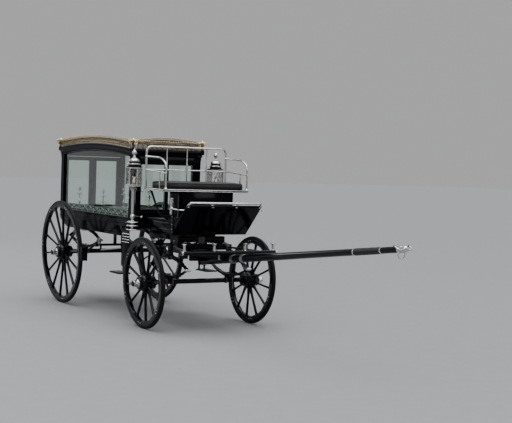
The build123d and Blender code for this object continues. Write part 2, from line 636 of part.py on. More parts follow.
def elliptic_spring(centre, length, height, leaves):
    """Full elliptic spring lying along X: two bows, each a long inner leaf with shorter ones outside it."""
    bow = height / 2 - (leaves - 1) * LEAF
    radius = ((length / 2) ** 2 + bow**2) / (2 * bow)
    x0, y0, z0 = centre
    with BuildPart() as spring:
        for up in (1, -1):
            for k in range(leaves):
                half = length / 2 * (1 - k / (leaves + 0.6))
                inner, outer = radius + (k - 1) * LEAF, radius + k * LEAF
                lift = bow - radius
                with BuildSketch(Plane(origin=(x0, y0 + SPRING_WIDTH / 2, z0), x_dir=(1, 0, 0),
                                       z_dir=(0, -1, 0))):
                    with BuildLine():
                        low = [(x, up * (lift + sqrt(inner**2 - x**2))) for x in (-half, 0, half)]
                        high = [(x, up * (lift + sqrt(outer**2 - x**2))) for x in (-half, 0, half)]
                        ThreePointArc(*low)
                        Line(low[2], high[2])
                        ThreePointArc(*reversed(high))
                        Line(high[0], low[0])
                    make_face()
                extrude(amount=SPRING_WIDTH)
        for end in (-1, 1):
            with BuildSketch(Plane(origin=(x0, y0 + SPRING_WIDTH / 2, z0), x_dir=(1, 0, 0),
                                   z_dir=(0, -1, 0))):
                with Locations((end * length / 2, -LEAF / 2)):
                    Circle(15)
            extrude(amount=SPRING_WIDTH)
    return spring.part


def wheel_plane(x, side, radius):
    """Wheel centre plane; local z points outward along the dipped axle arm."""
    tilt = radians(CAMBER)
    centre = (x, side * (TRACK / 2 + radius * sin(tilt)), radius * cos(tilt))
    return Plane(origin=centre, x_dir=(1, 0, 0), z_dir=(0, side * cos(tilt), -sin(tilt)))


NAVE = (-118.0, 62.0)
REAR_BED = 52.0
FRONT_BED = 48.0
BED_END = NAVE[0] - 22


def bed_top(radius, bed):
    """Height of an axle bed's top face."""
    return wheel_plane(0, 1, radius).from_local_coords(Vector(0, 0, BED_END)).Z + bed / 2


def spring_pair(x, low, high, length, bow_height):
    """Two elliptic springs between an axle bed's top and the seats above, with clip blocks."""
    middle = low + SPRING_PAD + bow_height / 2
    crown = middle + bow_height / 2
    with BuildPart() as pair:
        for side in (-1, 1):
            add(elliptic_spring((x, side * SPRING_Y, middle), length, bow_height, LEAVES))
            for base, top in ((low, low + SPRING_PAD + LEAF), (crown - LEAF, high)):
                with Locations((x, side * SPRING_Y, (base + top) / 2)):
                    Box(92, SPRING_WIDTH - 8, top - base)
    return pair.part


SPRING_Y = 360.0
SPRING_PAD = 16.0
REAR_SPRING_LENGTH = 900.0
REAR_BOW = 250.0
FRONT_SPRING_LENGTH = 820.0
FRONT_BOW = 240.0
rear_axle_top = bed_top(REAR_RADIUS, REAR_BED)
finish(spring_pair(REAR_X, rear_axle_top, GLASS_BOTTOM - FLOOR, REAR_SPRING_LENGTH, REAR_BOW),
       "rear_springs")

# Wheels: dished, with staggered spokes, a turned nave and an iron-channelled rubber tyre
ARM_RADIUS = 22.0
DISH = 26.0
STAGGER = 7.0
CAP_END = 132.0
TYRE_DEPTH = 34.0
TYRE_WIDTH = 34.0
CHANNEL = 5.0
FELLOE_DEPTH = 46.0
FELLOE_WIDTH = 44.0
TIP_RADIUS = 13.0
ROOT_RADIUS = 17.0
NAVE_PROFILE = ((62, NAVE[0]), (66, NAVE[0] + 4), (66, NAVE[0] + 26), (74, NAVE[0] + 34), (88, -62),
                (88, 6), (74, 30), (64, 36), (64, 56), (60, NAVE[1]))
CAP_PROFILE = ((46, NAVE[1] + 0.2), (46, 68), (36, 74), (33, 80), (33, 110), (36, 113), (36, 118),
               (28, 119), (28, 128), (22, CAP_END - 1), (0.5, CAP_END))


def spoke(reach, offset):
    """One tapered spoke from the nave out to the felloe, leaning by the dish."""
    start, end = Vector(60, 0, -DISH + offset), Vector(reach, 0, 0)
    direction = end - start
    with BuildPart() as bar:
        with BuildSketch(Plane(start, x_dir=(0, 1, 0), z_dir=direction)):
            Ellipse(ROOT_RADIUS * 0.8, ROOT_RADIUS)
        with BuildSketch(Plane(end, x_dir=(0, 1, 0), z_dir=direction)):
            Ellipse(TIP_RADIUS, TIP_RADIUS)
        loft()
    return bar.part


def wheel_pair(end_name, x, radius, spokes):
    """Woodwork with its iron channel, the rubber tyre and the hub cap, for both ends of an axle."""
    rim = radius - TYRE_DEPTH
    with BuildPart() as wood:
        with BuildSketch(Plane.XZ):
            with BuildLine():
                Polyline((0, NAVE_PROFILE[0][1]), *NAVE_PROFILE, (0, NAVE_PROFILE[-1][1]),
                         (0, NAVE_PROFILE[0][1]))
            make_face()
            with Locations((rim - FELLOE_DEPTH / 2, 0)):
                Rectangle(FELLOE_DEPTH, FELLOE_WIDTH)
            with Locations((rim + CHANNEL / 2, 0)):
                Rectangle(3 * CHANNEL, FELLOE_WIDTH)
                Rectangle(3 * CHANNEL, TYRE_WIDTH, mode=Mode.SUBTRACT)
        revolve(axis=Axis.Z)
        for k in range(spokes):
            offset = STAGGER * (1 if k % 2 else -1)
            add(spoke(rim - FELLOE_DEPTH + 8, offset).rotate(Axis.Z, 360 / spokes * (k + 0.25)))
        with BuildSketch(Plane.XY.offset(NAVE[0])):
            Circle(ARM_RADIUS + RUNNING_CLEARANCE)
        extrude(amount=NAVE[1] - NAVE[0], mode=Mode.SUBTRACT)
    with BuildPart() as tyre:
        with BuildSketch(Plane.XZ):
            with BuildLine():
                low, high, half = rim - CHANNEL, radius, TYRE_WIDTH / 2
                Polyline((high - 9, half), (low, half), (low, -half), (high - 9, -half))
                ThreePointArc((high - 9, -half), (high, 0), (high - 9, half))
            make_face()
        revolve(axis=Axis.Z)
    for side_name, side in SIDES:
        plane = wheel_plane(x, side, radius)
        finish(plane.location * wood.part, f"{side_name}_{end_name}_wheel")
        finish(plane.location * tyre.part, f"{side_name}_{end_name}_tyre")
        finish(turned(CAP_PROFILE, plane), f"{side_name}_{end_name}_hub_cap")


WHEELS = (("rear", REAR_X, REAR_RADIUS, 14), ("front", FRONT_X, FRONT_RADIUS, 12))
for row in WHEELS:
    wheel_pair(*row)


def axle(x, radius, bed):
    """Square axle bed with round dipped arms and thrust collars."""
    with BuildPart() as beam:
        reach = wheel_plane(x, 1, radius).from_local_coords(Vector(0, 0, BED_END))
        with Locations((x, 0, reach.Z)):
            Box(bed, 2 * reach.Y, bed)
        for side in (-1, 1):
            plane = wheel_plane(x, side, radius)
            with BuildSketch(plane.offset(NAVE[0] - 60)):
                Circle(ARM_RADIUS + 2)
            extrude(amount=54)
            with BuildSketch(plane.offset(NAVE[0] - 24)):
                Circle(ARM_RADIUS + 16)
            extrude(amount=18)
            with BuildSketch(plane.offset(NAVE[0] - 8)):
                Circle(ARM_RADIUS)
            extrude(amount=NAVE[1] - NAVE[0])
    return beam.part


finish(axle(REAR_X, REAR_RADIUS, REAR_BED), "rear_axle")

# Brake: a cross shaft, its blocks at the rear tyres, levers and rods
BRAKE_Z = 640.0
BRAKE_X = REAR_X + REAR_RADIUS + 10
with BuildPart() as brake:
    shaft_x, shaft_z = REAR_X + 870, 760
    add(rod([(shaft_x, -600, shaft_z), (shaft_x, 600, shaft_z)], 14, 1))
    for side in (-1, 1):
        y = side * (TRACK / 2 + 20)
        add(rod([(shaft_x, side * 590, shaft_z), (BRAKE_X + 60, y - side * 10, BRAKE_Z + 10)], 13, 1))
        with Locations((BRAKE_X + 34, y - side * 2, BRAKE_Z)):
            Box(60, 72, 158)
        with Locations((shaft_x, side * 365, (shaft_z + GLASS_BOTTOM - FLOOR) / 2)):
            Box(40, 26, GLASS_BOTTOM - FLOOR - shaft_z)
    add(rod([(shaft_x, -572, shaft_z), (shaft_x + 52, -572, shaft_z + 18),
             (shaft_x + 38, -572, shaft_z + 68), (shaft_x - 26, -572, shaft_z + 58)], 9, 22))
    add(rod([(shaft_x + 6, -540, shaft_z), (shaft_x - 4, -540, shaft_z - 66)], 11, 1))
    pull_end = (REAR_X + 1140, -405, shaft_z - 14)
    add(rod([(shaft_x - 4, -540, shaft_z - 58), pull_end], 8, 1))
    with Locations((pull_end[0], pull_end[1], (pull_end[2] - 16 + SILL_BOTTOM) / 2)):
        Box(34, 16, SILL_BOTTOM - pull_end[2] + 16)
finish(brake.part, "brake_gear")

# Fifth wheel: the upper plate on the boot and the lower plate on the forecarriage
TURN_RADIUS = 290.0
TURN_WIDTH = 44.0
KING_RADIUS = 16.0
with BuildPart() as upper_turntable:
    with BuildSketch(Plane((FRONT_X, 0, TURN_Z + PLATE_GAP))):
        Circle(TURN_RADIUS)
        Circle(TURN_RADIUS - TURN_WIDTH, mode=Mode.SUBTRACT)
    extrude(amount=PLATE)
    with Locations((FRONT_X, 0, BEARER_FOOT + 30)):
        Box(70, 2 * TURN_RADIUS - 20, 60)
    for y in (-1, 1):
        with Locations(((BOOT_REAR + boot_front - BOOT_SWEEP) / 2, y * 180, BEARER_FOOT + BEARER / 2)):
            Box(boot_front - BOOT_SWEEP - BOOT_REAR, 56, BEARER)
    with Locations((FRONT_X, 0, TURN_Z + PLATE_GAP + 35)):
        Cylinder(52, 70)
    with BuildSketch(Plane((FRONT_X, 0, TURN_Z + PLATE_GAP))):
        Circle(KING_RADIUS + RUNNING_CLEARANCE)
    extrude(amount=60, mode=Mode.SUBTRACT)
finish(upper_turntable.part, "upper_turntable")

with BuildPart() as lower_turntable:
    with BuildSketch(Plane((FRONT_X, 0, TURN_Z))):
        Circle(TURN_RADIUS)
        Circle(TURN_RADIUS - TURN_WIDTH, mode=Mode.SUBTRACT)
    extrude(amount=-PLATE)
    with Locations((FRONT_X, 0, TURN_Z - PLATE - 30)):
        Box(76, 2 * TURN_RADIUS + 160, 60)
    with Locations((FRONT_X, 0, TURN_Z - PLATE / 2)):
        Box(76, 120, PLATE)
    with BuildSketch(Plane((FRONT_X, 0, TURN_Z - 20))):
        Circle(KING_RADIUS)
    extrude(amount=70)
finish(lower_turntable.part, "lower_turntable")

# Front axle and springs
finish(axle(FRONT_X, FRONT_RADIUS, FRONT_BED), "front_axle")
bolster_foot = TURN_Z - PLATE - 60
finish(spring_pair(FRONT_X, bed_top(FRONT_RADIUS, FRONT_BED), bolster_foot, FRONT_SPRING_LENGTH, FRONT_BOW),
       "front_springs")

# Futchells, splinter bar, pole and pole head
FUTCHELL_Z = bolster_foot - 24
SPLINTER_X = FRONT_X + 620.0
with BuildPart() as futchells:
    for side in (-1, 1):
        with BuildSketch(Plane((FRONT_X, 0, FUTCHELL_Z - 24))):
            with BuildLine():
                Polyline((-330, side * 150), (640, side * 62), (640, side * 106), (-330, side * 194),
                         (-330, side * 150))
            make_face()
        extrude(amount=48)
    with Locations((FRONT_X - 300, 0, FUTCHELL_Z)):
        Box(50, 330, 40)
    with Locations((FRONT_X + 54, 0, FUTCHELL_Z - 44)):
        Box(48, 300, 84)
finish(futchells.part, "futchells")

ROLLER_RADIUS = 14.0
ROLLER_HEIGHT = 66.0
ROLLER_Y = (180.0, 520.0)
with BuildPart() as splinter_bar:
    with Locations((SPLINTER_X, 0, FUTCHELL_Z + 24 + 21)):
        Box(58, 2 * ROLLER_Y[1] + 80, 42)
    fillet(splinter_bar.edges().filter_by(Axis.Y), 12)
    for y in (-ROLLER_Y[1], -ROLLER_Y[0], ROLLER_Y[0], ROLLER_Y[1]):
        with BuildSketch(Plane((SPLINTER_X, y, FUTCHELL_Z + 24 + 42))):
            Circle(ROLLER_RADIUS)
        extrude(amount=ROLLER_HEIGHT)
        with BuildSketch(Plane((SPLINTER_X, y, FUTCHELL_Z + 24 + 42 + ROLLER_HEIGHT))):
            Circle(26)
        extrude(amount=10)
    for y in (-1, 1):
        pad_x, pad_z = FRONT_X + 38, bolster_foot + 30
        with Locations((pad_x + 5, y * 320, pad_z)):
            Box(10, 44, 44)
        add(rod([(pad_x + 5, y * 320, pad_z), (SPLINTER_X - 10, y * 440, FUTCHELL_Z + 45)], 11, 1))
finish(splinter_bar.part, "splinter_bar")

POLE_FOOT = Vector(FRONT_X + 84, 0, FUTCHELL_Z - 84)
POLE_END = Vector(POLE_TIP - 120, 0, POLE_TIP_HEIGHT)
with BuildPart() as pole:
    direction = POLE_END - POLE_FOOT
    with BuildSketch(Plane(POLE_FOOT, x_dir=(0, 1, 0), z_dir=direction)):
        Circle(44)
    with BuildSketch(Plane(POLE_END, x_dir=(0, 1, 0), z_dir=direction)):
        Circle(27)
    loft()
finish(pole.part, "pole")

with BuildPart() as pole_head:
    direction = POLE_END - POLE_FOOT
    tip = Plane(POLE_END, x_dir=(0, 1, 0), z_dir=direction)
    profile = ((32, 0.3), (32, 30), (29, 40), (29, 90), (20, 108), (1, 113))
    add(turned(profile, tip))
    with Locations((POLE_TIP - 8, 0, POLE_TIP_HEIGHT + 10)):
        Box(16, 20, 20)
    for y in (-1, 1):
        z = POLE_TIP_HEIGHT + 2
        add(rod([(POLE_TIP - 46, 0, z), (POLE_TIP - 40, y * 66, z + 6), (POLE_TIP - 84, y * 74, z + 30)],
                8, 22))
finish(pole_head.part, "pole_head")
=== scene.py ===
"""Scene of a horse-drawn, glass-sided hearse carriage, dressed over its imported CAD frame.

Every sub-assembly is a class that holds its own sizes and builds its pieces from numpy surfaces. Lengths
are metres in the row frame: +X is the direction of travel, +Y the driver's left and +Z up. Profiles that
go through mm() are millimetres.
"""
import logging
from dataclasses import dataclass
from enum import Enum
from math import cos, pi, radians, sin, tau
from typing import Any, Iterable, Sequence

import bmesh
import bpy
import numpy as np
import numpy.typing as npt
from mathutils import Matrix, Vector


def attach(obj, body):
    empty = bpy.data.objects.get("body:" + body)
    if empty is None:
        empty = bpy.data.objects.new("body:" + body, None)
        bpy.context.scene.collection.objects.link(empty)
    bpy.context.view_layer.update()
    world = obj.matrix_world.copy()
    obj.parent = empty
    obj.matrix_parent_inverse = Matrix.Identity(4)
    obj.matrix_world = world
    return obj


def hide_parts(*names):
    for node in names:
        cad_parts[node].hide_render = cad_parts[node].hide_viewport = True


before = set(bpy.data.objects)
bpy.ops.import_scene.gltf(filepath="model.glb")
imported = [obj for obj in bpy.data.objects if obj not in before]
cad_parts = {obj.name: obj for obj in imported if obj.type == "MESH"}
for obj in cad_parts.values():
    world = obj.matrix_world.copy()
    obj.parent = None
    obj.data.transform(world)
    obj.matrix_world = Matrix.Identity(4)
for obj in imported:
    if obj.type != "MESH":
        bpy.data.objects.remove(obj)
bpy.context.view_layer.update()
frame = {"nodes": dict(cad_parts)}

Floats = npt.NDArray[np.float64]
Ints = npt.NDArray[np.int64]
Points = Sequence[Sequence[float]] | Floats
Pair = tuple[float, float]
Triple = tuple[float, float, float]
Profile = tuple[Pair, ...]
ALONG, ACROSS, UP = (1, 0, 0), (0, 1, 0), (0, 0, 1)
log = logging.getLogger("hearse")


class Side(Enum):
    """The two sides of the carriage, by the sign of their Y."""

    RIGHT = -1
    LEFT = 1

    @property
    def tag(self) -> str:
        """Name of the side as node names spell it."""
        return self.name.lower()


class Body(Enum):
    """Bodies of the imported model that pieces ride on, beside the wheels and doors."""

    CARRIAGE = "carriage"
    FORECARRIAGE = "forecarriage"


@dataclass(frozen=True)
class Carriage:
    """Sizes that the sub-assemblies share."""

    rear_x: float = -2.47
    front_x: float = -0.25
    body_rear: float = -3.13
    body_front: float = -1.06
    half_width: float = 0.42
    frame: float = 0.042
    sill: float = 0.88
    glass_foot: float = 1.07
    eaves: float = 1.778
    rise: float = 0.062
    track: float = 1.272
    camber: float = radians(2.0)

    @property
    def middle(self) -> float:
        """X of the body's middle."""
        return (self.body_rear + self.body_front) / 2

    @property
    def length(self) -> float:
        """Length of the body."""
        return self.body_front - self.body_rear

    def arch(self, x: Floats, base: float, length: float = 2.07) -> Floats:
        """Height of the roof's segmental arch: a circle's top through both eaves and the crown.

        Args:
            x: Distances from the body's middle.
            base: Height of the arch's springing.
            length: Span of the arch.

        Returns:
            Heights above the ground.
        """
        radius = ((length / 2) ** 2 + self.rise**2) / (2 * self.rise)
        return base + self.rise - radius + np.sqrt(radius**2 - np.asarray(x) ** 2)

    def wheel_place(self, side: Side, x: float, radius: float) -> Floats:
        """4x4 from a wheel's own axes, Z out along its arm, to the row frame."""
        sign, tilt = side.value, self.camber
        centre = (x, sign * (self.track / 2 + radius * sin(tilt)), radius * cos(tilt))
        return oriented(centre, ALONG, (0, sign * cos(tilt), -sin(tilt)))


CARRIAGE = Carriage()


# Surfaces


@dataclass(frozen=True)
class Shell:
    """One or more closed surfaces: vertices, quads and many-sided end faces."""

    points: Floats
    quads: Ints
    caps: tuple[Ints, ...] = ()

    def moved(self, matrix: Floats) -> "Shell":
        """The shell after a 4x4 transform."""
        return Shell(self.points @ matrix[:3, :3].T + matrix[:3, 3], self.quads, self.caps)

    def shifted(self, x: float = 0.0, y: float = 0.0, z: float = 0.0) -> "Shell":
        """The shell moved along the axes."""
        return Shell(self.points + np.array((x, y, z)), self.quads, self.caps)

    def on(self, side: Side) -> "Shell":
        """The shell as drawn for the left, or its mirror image for the right."""
        return self if side is Side.LEFT else self.moved(np.diag((1, -1, 1, 1)))

    def both(self) -> "Shell":
        """The shell and its mirror image across the carriage's centre plane."""
        return joined((self.on(Side.RIGHT), self))

    def copies(self, matrices: Floats | Sequence[Floats]) -> "Shell":
        """The shell repeated once for each of a row of 4x4s, by broadcasting.

        Args:
            matrices: The transforms, one for each copy.

        Returns:
            One shell with all the copies.
        """
        table, size = np.asarray(matrices), len(self.points)
        points = np.einsum("kij,nj->kni", table[:, :3, :3], self.points) + table[:, None, :3, 3]
        starts = np.arange(len(table)) * size
        quads = (self.quads[None] + starts[:, None, None]).reshape(-1, 4)
        caps = tuple(cap + start for start in starts for cap in self.caps)
        return Shell(points.reshape(-1, 3), quads, caps)

    def at(self, spots: Points) -> "Shell":
        """The shell repeated at each spot."""
        matrices = np.tile(np.identity(4), (len(spots), 1, 1))
        matrices[:, :3, 3] = spots
        return self.copies(matrices)

    def ringed(self, angles: Floats, radius: float = 0.0) -> "Shell":
        """The shell repeated at each angle about local Z, after a move along X by the radius."""
        c, s, o = np.cos(angles), np.sin(angles), np.zeros(len(angles))
        rows = ((c, -s, o, radius * c), (s, c, o, radius * s), (o, o, o + 1, o), (o, o, o, o + 1))
        return self.copies(np.moveaxis(np.array(rows), 2, 0))


def joined(shells: Iterable[Shell]) -> Shell:
    """Several shells as one.

    Args:
        shells: The shells to join.

    Returns:
        One shell with all their faces.
    """
    points, quads, caps, start = [], [], [], 0
    for shell in shells:
        points.append(shell.points)
        quads.append(shell.quads + start)
        caps.extend(cap + start for cap in shell.caps)
        start += len(shell.points)
    return Shell(np.concatenate(points), np.concatenate(quads), tuple(caps))


def mm(rows: Points) -> Floats:
    """Rows of millimetres in metres."""
    return np.array(rows) / 1000


def spread(*coordinates: float | Floats) -> Floats:
    """Points from coordinates that are arrays or single numbers, spread over each other."""
    return np.stack(np.broadcast_arrays(*coordinates), -1)


def around(count: int) -> Floats:
    """Angles of a full turn, without its last."""
    return np.linspace(0.0, tau, count, endpoint=False)


def grid(points: Floats, wrap_rows: bool = False, wrap_columns: bool = True) -> Shell:
    """Quads over a (rows, columns, 3) array of points; open rows end in flat caps.

    Args:
        points: Surface points as a function of two parameters.
        wrap_rows: Joins the last row to the first.
        wrap_columns: Joins the last column to the first.

    Returns:
        The surface as a shell.
    """
    rows, columns = points.shape[:2]
    index = np.arange(rows * columns).reshape(rows, columns)
    caps = () if wrap_rows or not wrap_columns else (index[0].copy(), index[-1].copy())
    if wrap_rows:
        index = np.vstack((index, index[:1]))
    if wrap_columns:
        index = np.hstack((index, index[:, :1]))
    quads = np.stack((index[:-1, :-1], index[1:, :-1], index[1:, 1:], index[:-1, 1:]), -1).reshape(-1, 4)
    return Shell(points.reshape(-1, 3), quads, caps)


def lathe(profile: Points, count: int = 32, closed: bool = False, lobes: int = 0,
          depth: float = 0.0) -> Shell:
    """Profile turned about local Z: x = r cos a, y = r sin a, z = h, with r (1 + depth cos(lobes a)).

    Args:
        profile: Rows of (radius, height).
        count: Columns round the turn.
        closed: True if the profile is a closed outline, as a ring's is.
        lobes: Number of flutes round the turn.
        depth: Depth of the flutes as a share of the radius.

    Returns:
        The turned shell.
    """
    table, angle = np.asarray(profile, float), around(count)
    radius = table[:, :1] * (1 + depth * np.cos(lobes * angle))
    return grid(spread(radius * np.cos(angle), radius * np.sin(angle), table[:, 1:]), closed)


def ball(centre: Sequence[float], radius: float, count: int = 16) -> Shell:
    """Sphere from its angles, closed by two tiny caps."""
    rise = np.linspace(-pi / 2 + 0.06, pi / 2 - 0.06, count // 2 + 1)
    return lathe(radius * spread(np.cos(rise), np.sin(rise)), count).shifted(*centre)


def softened(points: Points, radius: float, steps: int = 5, closed: bool = False) -> Floats:
    """Route or outline with its corners eased: (1-t)^2 a + 2t(1-t) p + t^2 b at each corner p.

    Args:
        points: Corners, in two or three dimensions.
        radius: Distance from the corner to a and b along its two runs.
        steps: Points on each eased corner.
        closed: True for an outline that joins up.

    Returns:
        The eased points.
    """
    corner = np.asarray(points, float)
    ends = []
    for shift in (1, -1):
        run = np.roll(corner, shift, 0) - corner
        reach = np.linalg.norm(run, axis=1, keepdims=True)
        ends.append((corner + run * np.minimum(radius, reach * 0.49) / np.maximum(reach, 1e-9))[:, None])
    t = np.linspace(0, 1, steps)[None, :, None]
    curve = (1 - t) ** 2 * ends[0] + 2 * t * (1 - t) * corner[:, None] + t**2 * ends[1]
    if closed:
        return curve.reshape(-1, corner.shape[1])
    return np.concatenate((corner[:1], curve[1:-1].reshape(-1, corner.shape[1]), corner[-1:]))


def flowing(points: Points, steps: int = 8) -> Floats:
    """Smooth curve through points: a Catmull-Rom cubic on each run, its ends doubled.

    Args:
        points: Points the curve passes through.
        steps: Samples on each run.

    Returns:
        Points along the curve.
    """
    p = np.asarray(points, float)
    padded = np.concatenate((2 * p[:1] - p[1:2], p, 2 * p[-1:] - p[-2:-1]))
    a, b, c, d = (padded[k:len(p) - 1 + k, None] for k in range(4))
    t = np.linspace(0, 1, steps, endpoint=False)[None, :, None]
    curve = 0.5 * (2 * b + (c - a) * t + (2 * a - 5 * b + 4 * c - d) * t**2 + (3 * b - a - 3 * c + d) * t**3)
    return np.concatenate((curve.reshape(-1, p.shape[1]), p[-1:]))


def moulding(path: Points, section: Floats, reference: Sequence[float],
             closed: bool = False) -> Shell:
    """Section carried along a path: p + u n + v b, n the reference square to the run, b their cross.

    Args:
        path: Points of the centre line.
        section: Closed outline of (u, v), or one outline for each point.
        reference: Direction that n follows; it is never along the path.
        closed: True if the path joins up.

    Returns:
        The moulded bar with flat ends.
    """
    line, guide = np.asarray(path, float), np.asarray(reference, float)
    tangent = np.roll(line, -1, 0) - np.roll(line, 1, 0) if closed else np.gradient(line, axis=0)
    tangent /= np.linalg.norm(tangent, axis=1, keepdims=True)
    normal = guide - (tangent @ guide)[:, None] * tangent
    normal /= np.linalg.norm(normal, axis=1, keepdims=True)
    binormal = np.cross(tangent, normal)[:, None]
    return grid(line[:, None] + section[..., :1] * normal[:, None] + section[..., 1:] * binormal, closed)


def tube(path: Points, radius: float | Floats, sides: int = 12,
         reference: Sequence[float] = ACROSS, closed: bool = False, flat: float = 1.0) -> Shell:
    """Ellipse carried along a path: u = r cos a and v = flat r sin a.

    Args:
        path: Points of the centre line.
        radius: One radius, or one for each point.
        sides: Columns round the tube.
        reference: Direction of u, made square to the run.
        closed: True if the path joins up.
        flat: Height of the ellipse as a share of its width.

    Returns:
        The tube with flat ends.
    """
    ring = spread(np.cos(around(sides)), flat * np.sin(around(sides)))
    return moulding(path, np.atleast_1d(radius)[:, None, None] * ring, reference, closed)


def inset(outline: Floats, distance: float) -> Floats:
    """Closed outline drawn inwards: each point moves by distance along its two edges' mean normal.

    Args:
        outline: (n, 2) points, anticlockwise.
        distance: How far each edge moves inwards.

    Returns:
        The smaller outline.
    """
    run = np.roll(outline, -1, 0) - outline
    run /= np.maximum(np.linalg.norm(run, axis=1, keepdims=True), 1e-12)
    inward = spread(-run[:, 1], run[:, 0])
    mean = inward + np.roll(inward, 1, 0)
    mean /= np.maximum((mean * mean).sum(1, keepdims=True) / 2, 0.35)
    return outline + distance * mean


def stepped(outline: Points, rows: Iterable[Pair]) -> Shell:
    """Outline stacked along local Z, each row saying how far it is drawn in and its height."""
    shape = np.asarray(outline, float)
    return grid(np.stack([spread(*inset(shape, away).T, z) for away, z in rows]))


def slab(outline: Points, low: float, high: float, edge: float = 0.002) -> Shell:
    """Outline raised from low to high along local Z, its rims eased."""
    ease = edge * 0.3
    return stepped(outline, ((edge, low), (ease, low + ease), (0, low + edge), (0, high - edge),
                             (ease, high - ease), (edge, high)))


def rectangle(width: float, height: float, corner: float = 0.0, steps: int = 4) -> Floats:
    """Rectangle about the origin, anticlockwise, with eased corners."""
    x, y = width / 2, height / 2
    plain = ((x, -y), (x, y), (-x, y), (-x, -y))
    return softened(plain, corner, steps, closed=True) if corner else np.array(plain)


def block(size: Sequence[float], centre: Sequence[float], edge: float = 0.003) -> Shell:
    """Box with eased edges."""
    x, y, z = size
    return slab(rectangle(x, y, edge, 3), -z / 2, z / 2, edge).shifted(*centre)


def oriented(origin: Sequence[float], x_axis: Sequence[float], z_axis: Sequence[float]) -> Floats:
    """4x4 that carries local X and Z to the given directions at an origin.

    Args:
        origin: Where the local origin goes.
        x_axis: Direction of local X, made square to Z.
        z_axis: Direction of local Z.

    Returns:
        The transform.
    """
    z = Vector(z_axis).normalized()
    x = Vector(x_axis)
    x = (x - x.dot(z) * z).normalized()
    matrix = np.identity(4)
    matrix[:3] = np.column_stack((x, z.cross(x), z, origin))
    return matrix


SIDE_PLANE = oriented((0, 0, 0), ALONG, (0, -1, 0))


def ring_columns(samples: int) -> Floats:
    """Share of the half length at each column of a body ring, as one column of numbers."""
    run = np.linspace(-1, 1, samples)
    return np.concatenate((run[:-1], np.ones(4), run[:0:-1], -np.ones(4)))[:, None]


def body_ring(section: Floats, heights: Floats, samples: int = 24) -> Shell:
    """Section run round the body with mitred corners: each point steps outwards by its offset.

    Along the sides x = s (half length + offset) and y = +-(half width + offset), and across the ends the
    two change places.

    Args:
        section: Outward step of each point of the closed section.
        heights: Height of each section point, or a (columns, section) table of them.
        samples: Points along each side.

    Returns:
        The closed ring.
    """
    cross, side = np.linspace(-1, 1, 5), np.ones(samples - 1)
    share = np.concatenate((-side, cross[:-1], side, cross[:0:-1]))[:, None]
    x = CARRIAGE.middle + ring_columns(samples) * (CARRIAGE.length / 2 + section)
    return grid(spread(x, share * (CARRIAGE.half_width + section), heights), True)


def window_frame(outer: Floats, inner: Floats, back: float, front: float, edge: float) -> Shell:
    """Flat frame between two matched outlines, with eased front edges: a closed band of section rows.

    Args:
        outer: (n, 2) outer outline.
        inner: (n, 2) inner outline, point for point.
        back: Height of the back face.
        front: Height of the front face.
        edge: Size of the eased edges.

    Returns:
        The frame in its own plane.
    """
    span = inner - outer
    step = np.minimum(edge / np.maximum(np.linalg.norm(span, axis=1, keepdims=True), 1e-9), 0.3)
    ease = edge if front > back else -edge
    rows = ((0, back), (0, front - ease), (0.3 * step, front - ease * 0.3), (step, front), (1 - step, front),
            (1 - 0.3 * step, front - ease * 0.3), (1, front - ease), (1, back))
    return grid(np.stack([spread(*(outer + span * share).T, z) for share, z in rows]), True)


def sash(outer: Floats, inner: Floats, back: float, edge: float) -> tuple[Shell, Shell]:
    """Wooden frame of a pane with its glazing bead, and the bright line inside the bead."""
    bead = window_frame(inset(inner, -0.011), inner, -0.002, 0.004, 0.0025)
    line = window_frame(inset(inner, -0.0006), inset(inner, 0.003), -0.014, -0.008, 0.001)
    return joined((window_frame(outer, inner, back, 0.0, edge), bead)), line


def end_plane(x: float, outward: int) -> Floats:
    """4x4 from a plane of (y, z) to the body's end at x, local Z outwards along the sign of X."""
    matrix = oriented((x, 0, 0), ACROSS, ALONG)
    matrix[0, 2] = outward
    return matrix


def box_outline(low_x: float, high_x: float, low_z: float, high_z: float | Floats, columns: int) -> Floats:
    """Outline of an upright opening in (x, z), anticlockwise, with a flat or an arched head.

    Args:
        low_x: First side.
        high_x: Second side.
        low_z: Foot.
        high_z: Head height, or one height for each column from high_x back to low_x.
        columns: Points along the head and foot.

    Returns:
        The outline's points.
    """
    foot = spread(np.linspace(low_x, high_x, columns), low_z)
    head = spread(np.linspace(high_x, low_x, columns), high_z)
    rise = np.linspace(0, 1, 6)[1:-1, None]
    return np.concatenate((foot, foot[-1] + rise * (head[0] - foot[-1]), head,
                           head[-1] + rise * (foot[0] - head[-1])))


# Finishes


